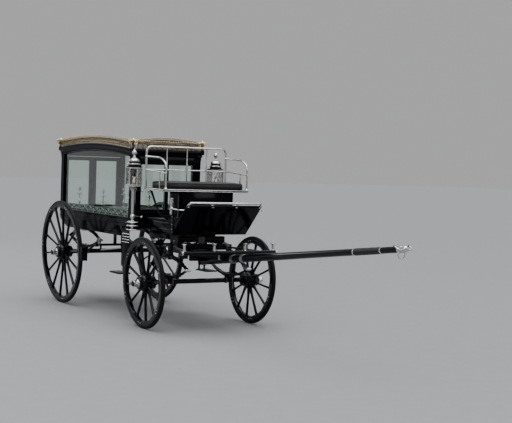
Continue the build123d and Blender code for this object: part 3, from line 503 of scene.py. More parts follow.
class NodeBench:
    """Adds nodes to one tree and joins them."""

    def __init__(self, tree: bpy.types.NodeTree) -> None:
        """Takes the tree."""
        self.tree = tree

    def node(self, kind: str, inputs: dict[int | str, Any] | None = None, output: int | str = 0,
             **settings: Any) -> Any:
        """Adds one node and feeds it.

        Args:
            kind: Type of the node, without the word that all types start with.
            inputs: Number, colour or socket for some of its inputs.
            output: Output that is wanted.
            settings: Values of the node's own options.

        Returns:
            The output, or None for a node without any.
        """
        made = self.tree.nodes.new(f"ShaderNode{kind}")
        for name, value in settings.items():
            setattr(made, name, value)
        for name, value in (inputs or {}).items():
            self.feed(made.inputs[name], value)
        return made.outputs[output] if made.outputs else None

    def feed(self, socket: Any, value: Any) -> None:
        """Sets one socket to a number or colour, or links it.

        Args:
            socket: Input of a node.
            value: Number, colour or another node's output.
        """
        if isinstance(value, bpy.types.NodeSocket):
            self.tree.links.new(value, socket)
        elif socket.type == "RGBA":
            socket.default_value = (*value, 1.0)
        else:
            socket.default_value = value

    def place(self, *stretch: float) -> Any:
        """Object coordinates, scaled along each axis where three numbers are given."""
        where = self.node("TexCoord", output="Object")
        return self.node("Mapping", {"Vector": where, "Scale": stretch}) if stretch else where

    def noise(self, scale: float, detail: float = 3.0, rough: float = 0.5, *stretch: float) -> Any:
        """Noise over the surface, stretched along each axis where three more numbers are given."""
        return self.node("TexNoise", {"Vector": self.place(*stretch), "Scale": scale, "Detail": detail,
                                      "Roughness": rough}, "Fac")

    def cells(self, scale: float) -> Any:
        """Distance to the nearest cell point."""
        return self.node("TexVoronoi", {"Vector": self.place(), "Scale": scale}, "Distance")

    def ranged(self, value: Any, low: float, high: float, start: float = 0.0, end: float = 1.0,
               easing: str = "LINEAR") -> Any:
        """Value from low to high stretched to start to end, and held beyond them."""
        return self.node("MapRange", {"Value": value, "From Min": low, "From Max": high, "To Min": start,
                                      "To Max": end}, "Result", interpolation_type=easing)

    def blend(self, factor: Any, first: Any, second: Any) -> Any:
        """Colour between two colours."""
        return self.node("Mix", {0: factor, 6: first, 7: second}, 2, data_type="RGBA")

    def times(self, first: Any, second: Any) -> Any:
        """Product of two values."""
        return self.node("Math", {0: first, 1: second}, operation="MULTIPLY")

    def plus(self, first: Any, second: Any) -> Any:
        """Sum of two values."""
        return self.node("Math", {0: first, 1: second}, operation="ADD")

    def upward(self, kind: str) -> Any:
        """Upward part of the surface's normal or of another vector of its geometry."""
        return self.node("SeparateXYZ", {0: self.node("NewGeometry", output=kind)}, "Z")

    def bump(self, height: Any, strength: float, distance: float = 0.001) -> Any:
        """Normal raised by a height."""
        return self.node("Bump", {"Strength": strength, "Distance": distance, "Height": height})

    def shader(self, **values: Any) -> Any:
        """Principled shader; an underscore in a name stands for a space."""
        return self.node("BsdfPrincipled", {name.replace("_", " "): value for name, value in values.items()})


@dataclass(frozen=True)
class Finish:
    """A surface finish, made once and shared by all pieces that use it."""

    name: str

    def material(self) -> bpy.types.Material:
        """Makes the finish's material on first use.

        Returns:
            The material that its pieces share.
        """
        known = bpy.data.materials.get(self.name)
        if known is not None:
            return known
        material = bpy.data.materials.new(self.name)
        material.use_nodes = True
        material.node_tree.nodes.clear()
        bench = NodeBench(material.node_tree)
        bench.node("OutputMaterial", {"Surface": self.paint(bench)})
        return material

    def paint(self, bench: NodeBench) -> Any:
        """Wires the finish's own nodes.

        Args:
            bench: Bench at the material's tree.

        Returns:
            The shader.
        """
        raise NotImplementedError


@dataclass(frozen=True)
class CoachEnamel(Finish):
    """Rubbed black coach enamel under varnish, with road dust where it settles."""

    tint: Triple
    dust: float
    gloss: float
    shine: float

    def paint(self, bench: NodeBench) -> Any:
        """Deep black, a hazy dust that follows a coarse noise and the upward faces, and a clear coat."""
        cloud = bench.ranged(bench.noise(9.0, 5.0, 0.65), 0.45, 0.75)
        speck = bench.ranged(bench.noise(160.0, 2.0), 0.5, 0.7, 0.4)
        facing = bench.ranged(bench.upward("Normal"), 0.0, 1.0)
        haze = bench.times(bench.times(bench.times(bench.plus(facing, 0.25), cloud), speck), self.dust)
        smear = bench.ranged(bench.noise(26.0, 4.0), 0.3, 0.7, self.gloss, self.gloss + 0.07)
        return bench.shader(
            Base_Color=bench.blend(haze, self.tint, (0.24, 0.225, 0.2)),
            Roughness=bench.plus(bench.times(haze, 1.2), smear), IOR=1.45, Specular_IOR_Level=self.shine,
            Normal=bench.bump(bench.noise(210.0, 2.0), 0.05, 0.0004))


@dataclass(frozen=True)
class BrightMetal(Finish):
    """Polished metal with tarnish in clouds and fine polishing scratches."""

    tint: Triple
    tarnish: Triple
    polish: float
    worn: float

    def paint(self, bench: NodeBench) -> Any:
        """Metal tint darkened by clouds of tarnish; scratches run as a stretched noise."""
        cloud = bench.ranged(bench.noise(34.0, 5.0, 0.6), 0.42, 0.78, 0.0, self.worn)
        fine = bench.noise(420.0, 2.0, 0.5, 1, 1, 7)
        scratched = bench.ranged(fine, 0.3, 0.8, self.polish, self.polish + 0.1)
        return bench.shader(
            Base_Color=bench.blend(cloud, self.tint, self.tarnish), Metallic=1.0,
            Roughness=bench.plus(scratched, bench.times(cloud, 0.35)), Normal=bench.bump(fine, 0.04, 0.0003))


@dataclass(frozen=True)
class PlateGlass(Finish):
    """Clear plate glass with a green body and a slight wave."""

    tint: Triple = (0.86, 0.95, 0.91)
    rough: float = 0.0
    facets: float = 0.0

    def paint(self, bench: NodeBench) -> Any:
        """Refracting pane that lets lamps through, so that what is behind it stays lit."""
        if self.facets:
            relief = bench.bump(bench.cells(self.facets), 0.9, 0.004)
        else:
            relief = bench.bump(bench.noise(5.0, 1.0), 0.06, 0.002)
        pane = bench.shader(Base_Color=self.tint, Roughness=self.rough, IOR=1.4, Transmission_Weight=1.0,
                            Normal=relief)
        clear = bench.node("BsdfTransparent", {"Color": self.tint})
        shade = bench.node("LightPath", output="Is Shadow Ray")
        return bench.node("MixShader", {0: shade, 1: pane, 2: clear})


@dataclass(frozen=True)
class Matt(Finish):
    """Plain dull surface with a grain: rubber, frosted glass, cloth or a studio floor."""

    tint: Triple
    second: Triple
    grain: float
    rough: float
    relief: float

    def paint(self, bench: NodeBench) -> Any:
        """Two tones mixed by noise, over a fine raised grain."""
        cloud = bench.ranged(bench.noise(self.grain / 6, 4.0, 0.6), 0.35, 0.7)
        fine = bench.noise(self.grain, 3.0, 0.6)
        return bench.shader(
            Base_Color=bench.blend(cloud, self.tint, self.second), Specular_IOR_Level=0.15,
            Roughness=bench.ranged(fine, 0.3, 0.7, self.rough - 0.08, min(self.rough + 0.08, 1.0)),
            Normal=bench.bump(fine, self.relief))


@dataclass(frozen=True)
class VarnishedWood(Finish):
    """Boards of varnished wood whose grain runs along X."""

    tint: Triple = (0.16, 0.075, 0.03)
    second: Triple = (0.055, 0.022, 0.009)

    def paint(self, bench: NodeBench) -> Any:
        """Stretched rings and pores between two browns, under a clear coat."""
        rings = bench.node("TexWave", {"Vector": bench.place(1.2, 18.0, 18.0), "Scale": 1.6,
                                       "Distortion": 7.0}, "Fac", bands_direction="Y")
        pores = bench.noise(22.0, 4.0, 0.7, 3.0, 60.0, 60.0)
        mix = bench.times(rings, bench.ranged(pores, 0.3, 0.7, 0.55))
        return bench.shader(Base_Color=bench.blend(mix, self.second, self.tint), Roughness=0.34,
                            Coat_Weight=0.6, Coat_Roughness=0.12, Normal=bench.bump(pores, 0.12, 0.0005))


@dataclass(frozen=True)
class Hide(Finish):
    """Dyed leather with a pebbled grain and lighter rubbed crowns."""

    tint: Triple = (0.006, 0.006, 0.0065)
    rubbed: Triple = (0.02, 0.0185, 0.0175)

    def paint(self, bench: NodeBench) -> Any:
        """Cells make the pebbles, a noise the folds, and a slow noise rubs the dye away."""
        fold = bench.noise(48.0, 5.0, 0.6)
        wear = bench.ranged(bench.noise(7.0, 4.0, 0.6), 0.45, 0.75, 0.0, 0.8)
        grain = bench.plus(bench.times(bench.cells(420.0), 0.6), fold)
        return bench.shader(
            Base_Color=bench.blend(wear, self.tint, self.rubbed), Specular_IOR_Level=0.3,
            Roughness=bench.ranged(fold, 0.3, 0.7, 0.36, 0.54), Normal=bench.bump(grain, 0.35, 0.0012))


BODY_ENAMEL = CoachEnamel("body_enamel", (0.0014, 0.0018, 0.0034), 0.008, 0.07, 0.07)
GEAR_ENAMEL = CoachEnamel("gear_enamel", (0.0018, 0.0022, 0.0038), 0.05, 0.13, 0.15)
WHEEL_ENAMEL = CoachEnamel("wheel_enamel", (0.0016, 0.002, 0.0038), 0.03, 0.06, 0.22)
# Darker brass: tarnished, and darkened further as painted shade against the brighter copy below.
BRASS = BrightMetal("tarnished_painted_shade_brass", (0.2, 0.145, 0.065), (0.022, 0.016, 0.008), 0.15, 0.95)
# Brighter copy of the same brass for parts on top: a painted highlight.
PAINTED_HIGHLIGHT_BRASS = BrightMetal("painted_highlight_brass", (0.86, 0.72, 0.44), (0.4, 0.3, 0.15), 0.1, 0.3)
SILVER = BrightMetal("burnished_silver", (0.6, 0.595, 0.575), (0.2, 0.185, 0.16), 0.09, 0.5)
STEEL = BrightMetal("bright_steel", (0.5, 0.5, 0.5), (0.2, 0.185, 0.17), 0.26, 0.6)
IRON = BrightMetal("oiled_iron", (0.11, 0.105, 0.1), (0.05, 0.04, 0.033), 0.36, 0.9)
PANE = PlateGlass("clear_pane")
LAMP_GLASS = PlateGlass("cut_lamp_glass", (0.97, 0.97, 0.95), 0.03, 55.0)
FROST = Matt("etched_frost", (0.1, 0.15, 0.13), (0.5, 0.58, 0.54), 300.0, 0.55, 0.2)
RUBBER = Matt("tyre_rubber", (0.0022, 0.0022, 0.0028), (0.006, 0.0056, 0.006), 180.0, 0.6, 0.2)
MAT = Matt("ribbed_mat", (0.004, 0.004, 0.0045), (0.009, 0.009, 0.009), 220.0, 0.7, 0.2)
# Dark lining cloth; its green tint is a painted reflection of greenery.
LINING_PAINTED_REFLECTION = Matt("head_lining_painted_reflection", (0.006, 0.014, 0.010), (0.014, 0.026, 0.020), 500.0, 0.85, 0.4)
DECK = VarnishedWood("deck_varnish")
LEATHER = Hide("black_hide")
CANDLE = Matt("candle_wax", (0.85, 0.8, 0.68), (0.9, 0.86, 0.76), 90.0, 0.5, 0.1)
FLOOR = Matt("studio_floor", (0.215, 0.214, 0.212), (0.226, 0.225, 0.222), 40.0, 0.9, 0.02)


def as_mesh(name: str, shell: Shell, slots: Ints | int = 0) -> bpy.types.Mesh:
    """Mesh of a shell, its quads before its caps, with the faces turned outwards.

    Args:
        name: Name of the mesh.
        shell: The surface.
        slots: Material index of each face, or one for all.

    Returns:
        The smooth mesh.
    """
    sizes = np.concatenate((np.full(len(shell.quads), 4), [len(cap) for cap in shell.caps])).astype(int)
    corners = np.concatenate((shell.quads.ravel(), *shell.caps)).astype(np.int32)
    mesh = bpy.data.meshes.new(name)
    mesh.vertices.add(len(shell.points))
    mesh.vertices.foreach_set("co", shell.points.astype(np.float32).ravel())
    mesh.loops.add(len(corners))
    mesh.loops.foreach_set("vertex_index", corners)
    mesh.polygons.add(len(sizes))
    mesh.polygons.foreach_set("loop_start", (np.cumsum(sizes) - sizes).astype(np.int32))
    mesh.polygons.foreach_set("material_index", np.broadcast_to(slots, len(sizes)).astype(np.int32))
    mesh.update(calc_edges=True)
    mesh.validate()
    work = bmesh.new()
    work.from_mesh(mesh)
    bmesh.ops.recalc_face_normals(work, faces=work.faces)
    work.to_mesh(mesh)
    work.free()
    mesh.polygons.foreach_set("use_smooth", np.ones(len(mesh.polygons), bool))
    return mesh


def placed(name: str, data: Any) -> bpy.types.Object:
    """New object in the scene."""
    thing = bpy.data.objects.new(name, data)
    bpy.context.scene.collection.objects.link(thing)
    return thing


class Piece:
    """Gathers shells with their finishes and makes them one object."""

    def __init__(self, name: str, body: str = Body.CARRIAGE.value) -> None:
        """Starts an empty piece.

        Args:
            name: Name of the object.
            body: CAD body it rides on.
        """
        self.name, self.body = name, body
        self.parts: list[tuple[Shell, Finish]] = []

    def add(self, finish: Finish, *shells: Shell) -> "Piece":
        """Adds shells in one finish and returns the piece."""
        self.parts.extend((shell, finish) for shell in shells)
        return self

    def build(self, *replaced: str, slot: str = "black_paint") -> None:
        """Makes the object and lets it ride.

        Args:
            replaced: CAD nodes the piece stands for.
            slot: Material slot of the record; not used.
        """
        finishes = list(dict.fromkeys(finish for _, finish in self.parts))
        index = [finishes.index(finish) for _, finish in self.parts]
        counts = [len(shell.quads) for shell, _ in self.parts] + [len(shell.caps) for shell, _ in self.parts]
        mesh = as_mesh(self.name, joined(shell for shell, _ in self.parts), np.repeat(index * 2, counts))
        mesh.set_sharp_from_angle(angle=radians(36.0))
        for finish in finishes:
            mesh.materials.append(finish.material())
        thing = placed(self.name, mesh)
        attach(thing, self.body)
        if replaced:
            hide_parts(*replaced)
        log.info("%s: %d faces", self.name, len(mesh.polygons))


def dress(finish: Finish, *nodes: str) -> None:
    """Gives CAD nodes a finish in all their material slots.

    Args:
        finish: The finish.
        nodes: Names of the nodes.
    """
    for node in nodes:
        thing = frame["nodes"][node]
        if not thing.material_slots:
            thing.data.materials.append(None)
        for entry in thing.material_slots:
            entry.link = "OBJECT"
            entry.material = finish.material()


# Running gear


@dataclass(frozen=True)
class RoadWheel:
    """One dished wheel on its dipped axle arm, built about local Z and laid out at its place."""

    end: str
    side: Side
    x: float
    radius: float
    spokes: int
    tyre: float = 0.034
    felloe: float = 0.046
    width: float = 0.044
    dish: float = 0.026
    stagger: float = 0.007
    nave: Profile = (
        (23.5, -118), (62, -118), (66, -113), (66, -95), (70, -90), (74, -82), (83, -70), (88, -58), (88, 0),
        (84, 14), (74, 30), (67, 35), (64, 38), (64, 55), (60, 62), (23.5, 62))
    cap: Profile = (
        (41, 62.2), (41, 65.5), (38, 68), (35.2, 71), (34.5, 76), (34.5, 109), (35.8, 112.5), (35.8, 115.5),
        (34, 118), (28.8, 118.5))
    plug: Profile = ((28.7, 118.3), (28, 119), (28, 127), (26, 129.2), (21, 130.5), (0.5, 132))

    @property
    def rim(self) -> float:
        """Radius of the felloes' outer face."""
        return self.radius - self.tyre

    def rubber(self) -> Shell:
        """Solid tyre: flat sides with two shallow grooves and a tread of half-ellipse section.

        Returns:
            The tyre about local Z.
        """
        half, turn = self.tyre / 2, np.linspace(-pi / 2, pi / 2, 9)
        tread = spread(self.radius - 0.009 + 0.009 * np.cos(turn), half * np.sin(turn))
        side = mm(((-4, 0), (12, 0), (13.5, -1.6), (16, -1.6), (17.5, 0))) + (self.rim, half)
        return lathe(np.concatenate((side * (1, -1), tread, side[::-1])), 128, closed=True)

    def channel(self) -> Shell:
        """Iron channel between felloes and rubber, as a U-shaped ring."""
        w, t = self.width / 2, self.tyre / 2 + 0.0004
        half = np.array(((-0.0035, t), (0.0102, t), (0.0102, w - 0.0015), (0.009, w), (-0.004, w)))
        return lathe(np.concatenate((half[::-1] * (1, -1), half)) + (self.rim, 0), 128, closed=True)

    def felloes(self) -> Shell:
        """Wooden rim: square at each spoke and chamfered between, as sin^2 of the angle.

        Returns:
            The rim about local Z.
        """
        angle = around(self.spokes * 16)[:, None]
        phase = (angle - tau / self.spokes * 0.25) * self.spokes / 2
        ease = 0.0115 * np.clip(1.5 * np.sin(phase) ** 2 - 0.25, 0.08, 1.0)
        foot, w = self.rim - self.felloe, self.width / 2
        half = ((self.rim - 0.003, w), (foot + ease, w), (foot + ease * 0.3, w - ease * 0.3),
                (foot, w - ease))
        rows = half + tuple((r, -z) for r, z in half[::-1])
        radius, depth = (np.hstack([row[k] + 0 * angle for row in rows]) for k in (0, 1))
        return grid(spread(radius * np.cos(angle), radius * np.sin(angle), depth), True)

    def spoke(self, offset: float) -> Shell:
        """One spoke: an ellipse whose half widths fall from the nave's shoulder to the waist and swell again.

        Args:
            offset: Stagger of its foot along the axle.

        Returns:
            The spoke along local X.
        """
        t, angle = np.linspace(0, 1, 15)[:, None], around(14)
        foot, reach = 0.060, self.rim - self.felloe + 0.012
        waist = 1 / (1 + np.exp(-(t - 0.2) * 18))
        across = 0.0165 - 0.006 * waist + 0.003 * t**4
        along = (0.0215 - 0.008 * waist + 0.0015 * t**4) * (1 + 0.16 * np.cos(angle) ** 8)
        return grid(spread(foot + (reach - foot) * t, across * np.sin(angle),
                           (offset - self.dish) * (1 - t) + along * np.cos(angle)))

    def all_spokes(self) -> Shell:
        """Both staggered sets of spokes."""
        angles = (np.arange(self.spokes) + 0.25) * tau / self.spokes
        back = self.spoke(-self.stagger).ringed(angles[::2])
        return joined((back, self.spoke(self.stagger).ringed(angles[1::2])))

    def bolts(self) -> Shell:
        """Domed bolt heads and nuts through the felloes, two at each joint between spokes.

        Returns:
            The heads on both faces of the rim.
        """
        head = lathe(mm(((6.2, 0), (6, 2.2), (4, 4.2), (0.5, 4.8))), 10)
        angles = (np.arange(0, self.spokes, 2) + 0.75) * tau / self.spokes
        apart = 0.022 / self.rim
        front = head.ringed(np.concatenate((angles - apart, angles + apart)), self.rim - 0.017)
        front = front.shifted(z=self.width / 2)
        return joined((front, front.moved(np.diag((1, 1, -1, 1)))))

    def hoops(self) -> Shell:
        """Iron hoops shrunk on the nave, and the ring round the cap's foot.

        Returns:
            The four rings about local Z.
        """
        shells = []
        for r, z, w in ((66.5, -105, 11), (88.5, -53, 6), (88.5, -4, 6), (64.5, 47, 10)):
            hoop = mm(((-3, -w), (2.2, -w), (3.2, 0), (2.2, w), (-3, w))) + (r / 1000, z / 1000)
            shells.append(lathe(hoop, 48, closed=True))
        return joined(shells)

    def build(self) -> None:
        """Makes the woodwork, the tyre and the cap of this wheel."""
        name, place = f"{self.side.tag}_{self.end}", CARRIAGE.wheel_place(self.side, self.x, self.radius)
        ride = f"{name}_road_wheel"
        wood = Piece(f"{name}_spoked_wheel", ride)
        wood.add(WHEEL_ENAMEL, *(shell.moved(place) for shell in (
            self.felloes(), self.channel(), self.all_spokes(), lathe(mm(self.nave), 56, closed=True))))
        wood.add(GEAR_ENAMEL, self.hoops().moved(place))
        wood.add(STEEL, self.bolts().moved(place))
        wood.build(f"{name}_wheel")
        tyre = Piece(f"{name}_rubber", ride).add(RUBBER, self.rubber().moved(place))
        tyre.build(f"{name}_tyre", slot="rubber")
        cap = Piece(f"{name}_silver_cap", ride).add(SILVER, lathe(mm(self.cap), 48).moved(place))
        cap.add(WHEEL_ENAMEL, lathe(mm(self.plug), 40).moved(place))
        cap.build(f"{name}_hub_cap", slot="silver_plate")


@dataclass(frozen=True)
class EllipticSprings:
    """Pair of full elliptic springs with eyes, clips and rebound bands."""

    end: str
    body: Body
    x: float
    low: float
    high: float
    length: float
    height: float
    y: float = 0.36
    width: float = 0.046
    leaf: float = 0.008
    leaves: int = 4
    pad: float = 0.016

    @property
    def middle(self) -> float:
        """Height of the eyes."""
        return self.low + self.pad + self.height / 2

    def bow(self, x: Floats | float, step: float) -> Floats:
        """Height over the eyes of the circle through them, moved out by a number of leaves."""
        rise = self.height / 2 - (self.leaves - 1) * self.leaf
        radius = ((self.length / 2) ** 2 + rise**2) / (2 * rise)
        return rise - radius + np.sqrt((radius + step * self.leaf) ** 2 - x**2)

    def leaf_shell(self, step: int, up: int) -> Shell:
        """One leaf: a rectangle carried along its circle, thinned towards both spear-shaped ends.

        Args:
            step: Number of the leaf, from the long inner one outwards.
            up: 1 for the upper bow, -1 for the lower.

        Returns:
            The leaf at y = 0.
        """
        half = self.length / 2 * (1 - step / (self.leaves + 0.6))
        x = half * np.sin(np.linspace(-pi / 2, pi / 2, 33))[:, None]
        room = half - np.abs(x) + (0 if step else 1)
        wide = self.width / 2 * np.clip(room / 0.03, 0.45, 1)
        thick = self.leaf * 0.47 * np.clip(room / 0.05, 0.35, 1)
        u = np.array((-1, -0.94, 0.94, 1, 1, 0.94, -0.94, -1))
        v = np.array((-0.6, -1, -1, -0.6, 0.6, 1, 1, 0.6))
        return grid(spread(x, wide * u, up * (self.bow(x, step - 0.5) + thick * v)))

    def eyes(self) -> Shell:
        """Eyes, bolts and nuts where the two bows meet.

        Returns:
            Both ends of the spring at y = 0.
        """
        w = self.width / 2
        eye = lathe(((0.0135, -w), (0.015, 0.002 - w), (0.015, w - 0.002), (0.0135, w)), 24)
        pin = lathe(((0.0085, -w - 0.009), (0.0085, w + 0.009)), 6)
        ends = [oriented((end * self.length / 2, 0, -0.004), ALONG, ACROSS) for end in (-1, 1)]
        return joined((eye, pin)).copies(ends)

    def clips(self) -> Shell:
        """Blocks at the axle and body seats with their U bolts, and rebound bands along the bows.

        Returns:
            The fittings about the spring's middle.
        """
        half, shells = self.height / 2, []
        axle, body = self.low - self.middle, self.high - self.middle
        for foot, top in ((axle, self.leaf - half), (half - self.leaf, body)):
            shells.append(block((0.092, self.width - 0.008, top - foot), (0, 0, (foot + top) / 2)))
        crown, side = half - 2 * self.leaf, 0.029
        for up in (-1, 1):
            foot, head = up * (crown - 0.026), up * (crown + 0.024)
            route = softened(((0, -side, foot), (0, -side, head), (0, side, head), (0, side, foot)), 0.01, 4)
            clip = joined((tube(route, 0.0055, 8, ALONG), block((0.013, 0.075, 0.006), (0, 0, foot), 0.001)))
            shells.append(clip.at(((-0.03, 0, 0), (0.03, 0, 0))))
            band = block((0.014, self.width + 0.007, 3.4 * self.leaf), (0, 0, 0), 0.0015)
            shells.append(band.at([(x, 0, up * self.bow(x, 0.5)) for x in (-0.22, 0.22)]))
        return joined(shells)

    def build(self) -> None:
        """Makes both springs as one piece."""
        leaves = joined(self.leaf_shell(k, up) for k in range(self.leaves) for up in (-1, 1))
        piece, at = Piece(f"{self.end}_bow_springs", self.body.value), (self.x, self.y, self.middle)
        piece.add(GEAR_ENAMEL, joined((leaves, self.clips())).shifted(*at).both())
        piece.add(STEEL, self.eyes().shifted(*at).both())
        piece.build(f"{self.end}_springs")


@dataclass(frozen=True)
class AxleBed:
    """Square axle bed with chamfers, round dipped arms and thrust collars."""

    end: str
    body: Body
    x: float
    radius: float
    bed: float
    spring_y: float = 0.36
    arm: Profile = (
        (24, -178), (24, -143), (34, -142), (38, -139), (38, -127), (34, -124), (22, -124), (22, 54))

    def build(self) -> None:
        """Makes the bed with its arms, turned about the wheels' own axes, and clips where the springs sit."""
        place = CARRIAGE.wheel_place(Side.LEFT, self.x, self.radius)
        x, y, z = (place @ (0, 0, -0.14, 1))[:3]
        path = np.linspace((self.x, -y, z), (self.x, y, z), 5)
        piece = Piece(f"{self.end}_axle_bed", self.body.value)
        piece.add(GEAR_ENAMEL, moulding(path, rectangle(self.bed, self.bed, 0.009, 2), ALONG))
        piece.add(GEAR_ENAMEL, lathe(mm(self.arm)).moved(place).both())
        clip = block((self.bed + 0.012, 0.011, self.bed + 0.012), (x, self.spring_y, z), 0.002)
        piece.add(IRON, clip.at(((0, -0.035, 0), (0, 0.035, 0))).both())
        piece.build(f"{self.end}_axle")


@dataclass(frozen=True)
class BrakeGear:
    """Cross shaft with levers, blocks at the rear tyres, the bright curved lever and the pull rod."""

    shaft_x: float = -1.6
    shaft_z: float = 0.76
    block_x: float = -1.85
    block_z: float = 0.64
    lever_y: float = -0.572
    rod_y: float = -0.54
    bracket: Triple = (-1.33, -0.405, 0.805)

    def build(self) -> None:
        """Makes the brake in one piece."""
        x, z, y = self.shaft_x, self.shaft_z, CARRIAGE.track / 2 + 0.02
        piece = Piece("brake_linkage")
        arm = flowing(((x, 0.59, z), (x - 0.07, 0.6, z - 0.02), (self.block_x + 0.06, y, self.block_z)), 6)
        collar = lathe(mm(((20, -20), (22, -18), (22, 18), (20, 20))), 20)
        back = slab(rectangle(0.018, 0.158, 0.006), -0.036, 0.036, 0.003)
        shoe = slab(rectangle(0.042, 0.154, 0.008), -0.034, 0.034, 0.004)
        turn = oriented((self.block_x + 0.055, y - 0.002, self.block_z), ALONG, ACROSS)
        hanger = block((0.04, 0.026, 1.04 - z), (x, 0.365, (z + 1.04) / 2), 0.004)
        piece.add(GEAR_ENAMEL, tube(((x, -0.6, z), (x, 0.6, z)), 0.014, 20, ALONG))
        piece.add(GEAR_ENAMEL, joined((tube(arm, 0.0125, 14), back.moved(turn), hanger,
                                       collar.moved(oriented((x, 0.59, z), ALONG, ACROSS)))).both())
        piece.add(MAT, shoe.moved(turn).shifted(-0.03).both())
        hook = mm(((0, 0, 0), (45, 0, 12), (48, 0, 50), (12, 0, 74), (-26, 0, 58))) + (x, self.lever_y, z)
        curve = flowing(hook, 8)
        piece.add(IRON, tube(curve, np.linspace(0.011, 0.0075, len(curve))))
        piece.add(SILVER, ball((x - 0.028, self.lever_y, z + 0.055), 0.013))
        piece.add(GEAR_ENAMEL, tube(((x + 0.006, self.rod_y, z), (x - 0.004, self.rod_y, z - 0.066)), 0.011))
        end = (*self.bracket[:2], z - 0.014)
        piece.add(STEEL, tube(((x - 0.004, self.rod_y, z - 0.058), end), 0.008, 12, UP))
        piece.add(GEAR_ENAMEL, block((0.034, 0.016, 0.15), self.bracket, 0.004))
        piece.build("brake_gear")


@dataclass(frozen=True)
class FifthWheel:
    """Turntable: the upper plate with its bearers, and the lower plate with bolster and kingpin."""

    radius: float = 0.29
    width: float = 0.044
    height: float = 0.88
    gap: float = 0.0005
    plate: float = 0.012
    bolt_angles: tuple[float, ...] = (0.6, 1.1, 2.0, 2.5, -0.6, -1.1, -2.0, -2.5)

    def ring(self, low: float) -> Shell:
        """Flat plate ring with eased rims."""
        centre = (self.radius - self.width / 2, low + self.plate / 2)
        outline = rectangle(self.width, self.plate, 0.002, 2) + centre
        return lathe(outline, 96, closed=True).shifted(CARRIAGE.front_x)

    def build_upper(self) -> None:
        """Makes the carriage's half."""
        x, low = CARRIAGE.front_x, self.height + self.gap
        foot, bolt_ring = low + self.plate, 0.268
        piece = Piece("upper_fifth_wheel")
        piece.add(GEAR_ENAMEL, self.ring(low), block((0.07, 0.56, 0.06), (x, 0, foot + 0.03), 0.006))
        socket = mm(((16.5, 0), (50, 0), (52, 2), (52, 68), (50, 70), (16.5, 70)))
        piece.add(IRON, lathe(socket, 32, closed=True).shifted(x, 0, low))
        start, end = CARRIAGE.body_front + 0.009, -0.29
        bearer = block((end - start, 0.056, 0.088), ((start + end) / 2, 0.18, foot + 0.044), 0.007)
        piece.add(GEAR_ENAMEL, bearer.both())
        bolt = lathe(mm(((9, 0), (9, 4), (5, 8), (0.5, 9))), 10)
        turn = np.array(self.bolt_angles)
        piece.add(STEEL, bolt.at(spread(x + bolt_ring * np.cos(turn), bolt_ring * np.sin(turn), foot)))
        piece.build("upper_turntable")

    def build_lower(self) -> None:
        """Makes the forecarriage's half."""
        x, top = CARRIAGE.front_x, self.height
        piece = Piece("lower_fifth_wheel", Body.FORECARRIAGE.value)
        piece.add(GEAR_ENAMEL, self.ring(top - self.plate),
                  block((0.076, 0.74, 0.06), (x, 0, top - self.plate - 0.03), 0.008),
                  block((0.076, 0.12, self.plate), (x, 0, top - self.plate / 2), 0.002))
        piece.add(STEEL, lathe(mm(((16, -20), (16, 46), (14, 50), (0.5, 50.5))), 28).shifted(x, 0, top))
        piece.build("lower_turntable")


